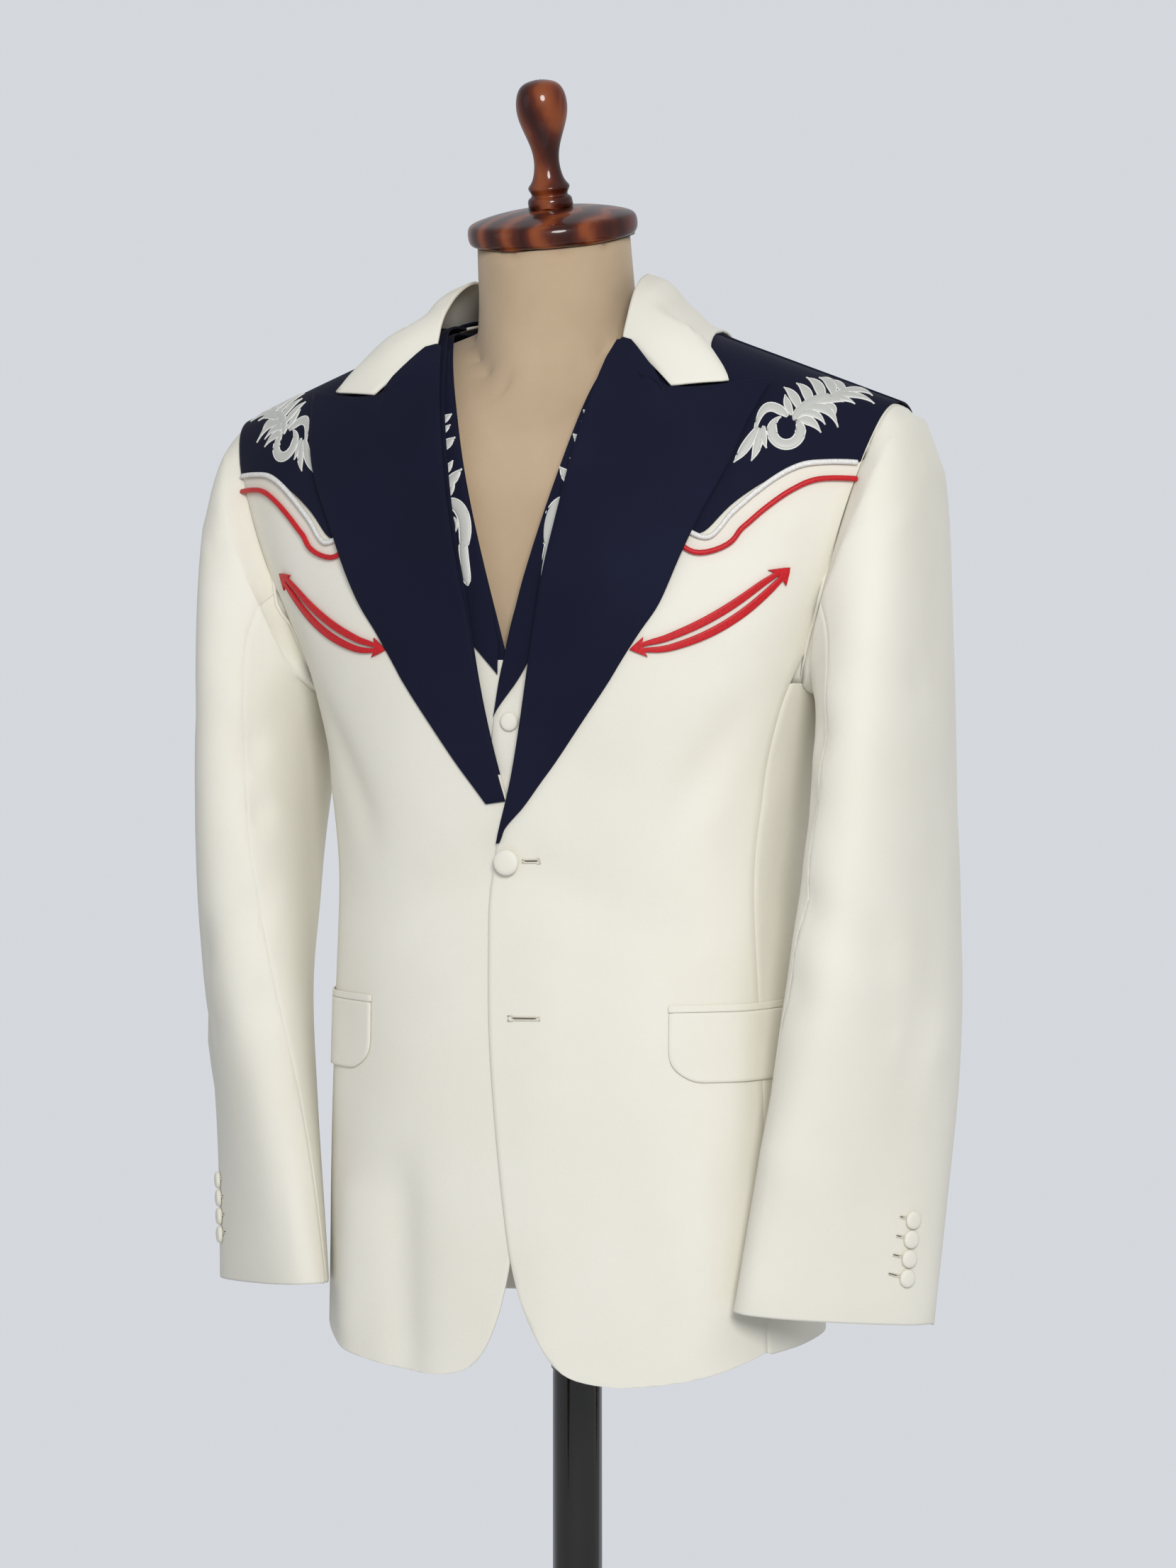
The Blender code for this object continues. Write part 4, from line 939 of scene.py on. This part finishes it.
def threadLine(work, points, radius, closed=False, sides=6):
    # a round thread through points, its UVs in millimetres along it
    work.loops.layers.uv.verify()
    count = len(points)
    steps = count if closed else count - 1
    made = bmesh.ops.create_grid(work, x_segments=steps, y_segments=sides, size=0.5, calc_uvs=True)
    length = sum((points[(i + 1) % count] - points[i]).length for i in range(steps))
    frames = []
    for i in range(count):
        before = points[i - 1] if (i or closed) else points[0]
        run = (points[(i + 1) % count] if (i < count - 1 or closed) else points[-1]) - before
        run = run.normalized() if run.length > 1e-9 else up.copy()
        side = run.cross(up if abs(run.z) < 0.9 else Vector((0, 1, 0))).normalized()
        frames.append((side, side.cross(run)))
    for vertex in made["verts"]:
        i, j = round((vertex.co.x + 0.5) * steps), round((vertex.co.y + 0.5) * sides)
        side, rise = frames[i % count]
        turn = 2 * math.pi * j / sides
        size = radius * (0.3 if not closed and i in (0, steps) else 1)   # open ends run out thin
        vertex.co = points[i % count] + (side * math.cos(turn) + rise * math.sin(turn)) * size
    stretchUvs(work, made["verts"], length)
    bmesh.ops.remove_doubles(work, verts=made["verts"], dist=sameWithin)


orderedAlong = Vector((1.0, 7.3, 53.1))   # a slanted line, on which no two places fall together


def putInOrder(work):
    # solidify lists what it makes in any order, and here it is the same each run
    for parts, placeOf in (
        (work.verts, lambda vertex: vertex.co),
        (work.edges, lambda edge: edge.verts[0].co + edge.verts[1].co),
        (work.faces, lambda face: face.calc_center_median()),
    ):
        parts.sort(key=lambda part: placeOf(part).dot(orderedAlong))


def finishThread(work, name, material, solid=0.0):
    if solid:
        bmesh.ops.recalc_face_normals(work, faces=work.faces)
        bmesh.ops.solidify(work, geom=work.faces[:], thickness=solid)
        putInOrder(work)
    bmesh.ops.recalc_face_normals(work, faces=work.faces)
    mesh = bpy.data.meshes.new(name)
    work.to_mesh(mesh)
    work.free()
    mesh.shade_smooth()
    piece = bpy.data.objects.new(name, mesh)
    bpy.context.scene.collection.objects.link(piece)
    mesh.materials.append(material)
    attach(piece, "root")
    return piece


shoulderMotif = {
    "node": "yoke_front",
    "name": "shoulder_embroidery",
    "sides": ("left", "right"),   # drawn on the first, mirrored on the second
    "corner": (960, 470),   # where the drawing lies in the picture, in its pixels
    "scale": 1 / 3,   # picture pixels to one unit of the drawing
    "slim": 0.82,
    "leaves": (
        # base, middle, tip, width, kind
        ((452, 352), (362, 318), (312, 432), 44, "tail"),
        ((326, 400), (272, 486), (224, 548), 46, "leaf"),
        ((338, 405), (324, 480), (299, 541), 40, "leaf"),
        ((352, 395), (352, 445), (364, 488), 28, "leaf"),
        ((447, 411), (249, -40), 61, 50, "ring"),
        ((470, 345), (452, 300), (442, 262), 34, "leaf"),
        ((506, 326), (478, 268), (437, 230), 42, "leaf"),
        ((548, 304), (532, 250), (490, 213), 46, "leaf"),
        ((596, 284), (584, 228), (532, 189), 48, "leaf"),
        ((646, 262), (632, 214), (586, 190), 46, "leaf"),
        ((696, 250), (672, 222), (640, 198), 36, "leaf"),
        ((640, 262), (742, 240), (812, 266), 26, "leaf"),
        ((616, 276), (730, 262), (820, 300), 28, "leaf"),
        ((596, 288), (676, 276), (738, 301), 28, "leaf"),
        ((572, 298), (636, 284), (690, 292), 28, "leaf"),
        ((590, 318), (640, 314), (652, 352), 34, "leaf"),
        ((520, 326), (612, 322), (666, 400), 44, "leaf"),
        ((505, 345), (566, 342), (612, 388), 36, "leaf"),
        ((498, 372), (548, 374), (594, 422), 44, "leaf"),
        ((478, 368), (540, 300), (640, 268), 40, "band"),
    ),
}

lapelMotif = {
    "node": "vest_lapel",
    "name": "lapel_embroidery",
    "sides": ("right", "left"),
    "corner": (590, 560),
    "scale": 1 / 5,
    "slim": 1,
    "leaves": (
        ((140, 190), (190, 155), (238, 120), 44, "leaf"),
        ((150, 262), (190, 230), (228, 196), 34, "leaf"),
        ((150, 372), (205, 330), (262, 284), 60, "leaf"),
        ((186, 540), (214, 498), (246, 448), 40, "leaf"),
        ((190, 640), (250, 572), (307, 508), 62, "leaf"),
        ((216, 700), (236, 650), (258, 594), 32, "leaf"),
        ((196, 742), (314, 830), (320, 1080), 84, "band"),
        ((316, 1010), (326, 1150), (350, 1330), 60, "band"),
        ((252, 850), (272, 900), (262, 954), 15, "leaf"),
    ),
}


def buildMotif(motif):
    (cornerX, cornerY), scale, name = motif["corner"], motif["scale"], motif["name"]
    drawnOn = f"{motif['node']}_{motif['sides'][0]}"
    tree = treeOf(clothPieces[drawnOn])
    low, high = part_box(drawnOn)
    reach = ((Vector(low) + Vector(high)) / 2 - viewPlace).length

    def place(x, y):
        return placeOn(tree, cornerX + x * scale, cornerY + y * scale, reach)

    for mirror, side in zip((False, True), motif["sides"]):
        satinWork, edgeWork = bmesh.new(), bmesh.new()
        satinWork.loops.layers.uv.verify()
        for base, middle, tip, width, kind in motif["leaves"]:
            slim = width * motif["slim"]
            rim = stitchedLeaf(satinWork, place, base, middle, tip, slim, kind, mirror)
            if rim:
                threadLine(edgeWork, rim, embroidery["outline"], closed=True)
        finishThread(satinWork, f"{name}_{side}", silverThread, embroidery["backing"])
        finishThread(edgeWork, f"{name}_outline_{side}", outlineThread)


def buildEmbroidery():
    for motif in (shoulderMotif, lapelMotif):
        buildMotif(motif)
    print("embroidery ready")


def surfaceRun(tree, start, direction, length, steps):
    # points along the cloth from a start, in one direction
    places = [start + direction * (length * i / steps) for i in range(steps + 1)]
    return [tree.find_nearest(place)[:2] for place in places]


buttonhole = {
    "half": 0.0011,   # half width of the worked slit
    "thread": 0.00065,
    "eyelet": 0.0019,
    "over": 0.0004,   # how far the thread's middle lies over the cloth
    "steps": 10,
    "slitOver": 0.00005,
    "slit": 0.45,   # radius of the dark tube of painted shade in the slit, as a share of the half width
}

frontHoles = (
    # name, place across and height, length, whether the eyelet is at the start
    ("upper", 0.0105, 1.0935, 0.0125, False),
    ("lower", 0.0015, 0.9860, 0.0230, True),
)

cuffHole = {
    "half": 0.0008,
    "forward": (-0.72, -0.60, 0.28),   # the way it runs from its button on the left cuff
    "away": 0.0068,   # from the button's middle
    "length": 0.0105,
}


def workedHole(tree, start, direction, length, name, half, eyeletAtStart):
    steps = buttonhole["steps"]
    line = surfaceRun(tree, start, direction, length, steps)
    loop = []
    for way, order in ((1, line), (-1, reversed(line))):
        for index, (spot, normal) in enumerate(order):
            at = index if way > 0 else steps - index
            atEyelet = at < 2 if eyeletAtStart else at > steps - 2
            wide = buttonhole["eyelet"] * half / buttonhole["half"] if atEyelet else half
            across = normal.cross(direction).normalized()
            loop.append(spot + normal * buttonhole["over"] + across * way * wide)
    thread = buttonhole["thread"]
    work = bmesh.new()
    threadLine(work, loop, thread * half / buttonhole["half"], closed=True)
    for spot, normal in (line[0], line[-1]):   # a bar across each end
        end = spot + normal * buttonhole["over"]
        across = normal.cross(direction).normalized()
        threadLine(work, [end + across * half * k * 1.5 for k in (-1, 0, 1)], thread * 0.9)
    finishThread(work, name, ivoryThread)
    # painted shade: a dark tube along the slit stands in for the shadow in the cut
    slit = bmesh.new()
    low = [spot + normal * buttonhole["slitOver"] for spot, normal in line[1:-1]]
    threadLine(slit, low, half * buttonhole["slit"])
    finishThread(slit, name + "_slit_shade", paintedSlitShade)


def buildButtonholes():
    front = treeOf(clothPieces["jacket_front_left"])
    across = Vector((1, 0, 0.02)).normalized()
    for word, x, z, length, eyeletAtStart in frontHoles:
        start = front.ray_cast(Vector((x, -1, z)), Vector((0, 1, 0)))[0]
        name, half = f"{word}_buttonhole", buttonhole["half"]
        workedHole(front, start, across, length, name, half, eyeletAtStart)
    for word, side in (("left", 1), ("right", -1)):
        sleeve = treeOf(clothPieces[f"topsleeve_{word}"])
        x, y, z = cuffHole["forward"]
        forward = Vector((x * side, y, z)).normalized()
        for number in (1, 2, 3, 4):
            low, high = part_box(f"cuff_button_{word}_{number}")
            start = (Vector(low) + Vector(high)) / 2 + forward * cuffHole["away"]
            name = f"cuff_buttonhole_{word}_{number}"
            workedHole(sleeve, start, forward, cuffHole["length"], name, cuffHole["half"], False)
    print("buttonholes ready")


buildForm()
buildVestCloth()
buildJacketCloth()
buildTrims()
buildArmholes()
buildRidges()
buildEmbroidery()
buildButtonholes()


# Camera, floor and light

def addCamera():
    bpy.context.scene.view_settings.view_transform = "Standard"   # the colours as they are mixed
    camera = bpy.data.objects.new("camera", bpy.data.cameras.new("camera"))
    camera.data.sensor_width = view["sensor"]
    camera.data.lens = view["lens"]
    camera.data.shift_x, camera.data.shift_y = view["shift"]
    camera.location = viewPlace
    camera.rotation_euler = (math.radians(90), 0, viewTurn)
    bpy.context.scene.collection.objects.link(camera)
    bpy.context.scene.camera = camera


lights = (
    # name, place, what it points at, size, power, whether it shows in the varnish
    ("keyLight", (1.5, -2.9, 2.2), (0, 0, 1.10), 1.1, 72, True),
    ("fillLight", (-2.2, -2.0, 1.8), (0, 0, 1.10), 1.6, 2, True),
    ("backLight", (0.6, 2.4, 2.4), (0, 0, 1.20), 1.4, 20, False),
)


def addLight(name, place, target, size, power, shiny):
    light = bpy.data.objects.new(name, bpy.data.lights.new(name, "AREA"))
    light.data.shape = "DISK"
    light.data.size = size
    light.data.energy = power
    light.location = place
    light.rotation_euler = (Vector(target) - Vector(place)).to_track_quat("-Z", "Y").to_euler()
    light.visible_glossy = shiny
    bpy.context.scene.collection.objects.link(light)


studio = {
    "floorRadius": 1.5,
    "floorColour": (0.66, 0.68, 0.71),
    "wall": (0.662, 0.684, 0.723, 1),
    "wallLight": 0.68,   # the wall is seen at full strength and lights the suit with this much
}


def addStage():
    work = bmesh.new()
    bmesh.ops.create_circle(work, cap_ends=True, radius=studio["floorRadius"], segments=96)
    mesh = bpy.data.meshes.new("floor")
    work.to_mesh(mesh)
    work.free()
    floor = bpy.data.objects.new("floor", mesh)
    floor.location = (0, 0, -0.0005)   # just under the base
    mesh.materials.append(plainMaterial("paleFloor", studio["floorColour"], 0.85))
    bpy.context.scene.collection.objects.link(floor)
    world = bpy.data.worlds.new("studio")
    world.use_nodes = True
    nodes, links = world.node_tree.nodes, world.node_tree.links
    nodes["Background"].inputs["Color"].default_value = studio["wall"]
    seen = nodes.new("ShaderNodeLightPath")
    share = nodes.new("ShaderNodeMath")
    share.operation = "MULTIPLY_ADD"
    share.inputs[1].default_value = 1 - studio["wallLight"]
    share.inputs[2].default_value = studio["wallLight"]
    links.new(seen.outputs["Is Camera Ray"], share.inputs[0])
    links.new(share.outputs[0], nodes["Background"].inputs["Strength"])
    bpy.context.scene.world = world


addCamera()
addStage()
for light in lights:
    addLight(*light)
print("camera and light ready")
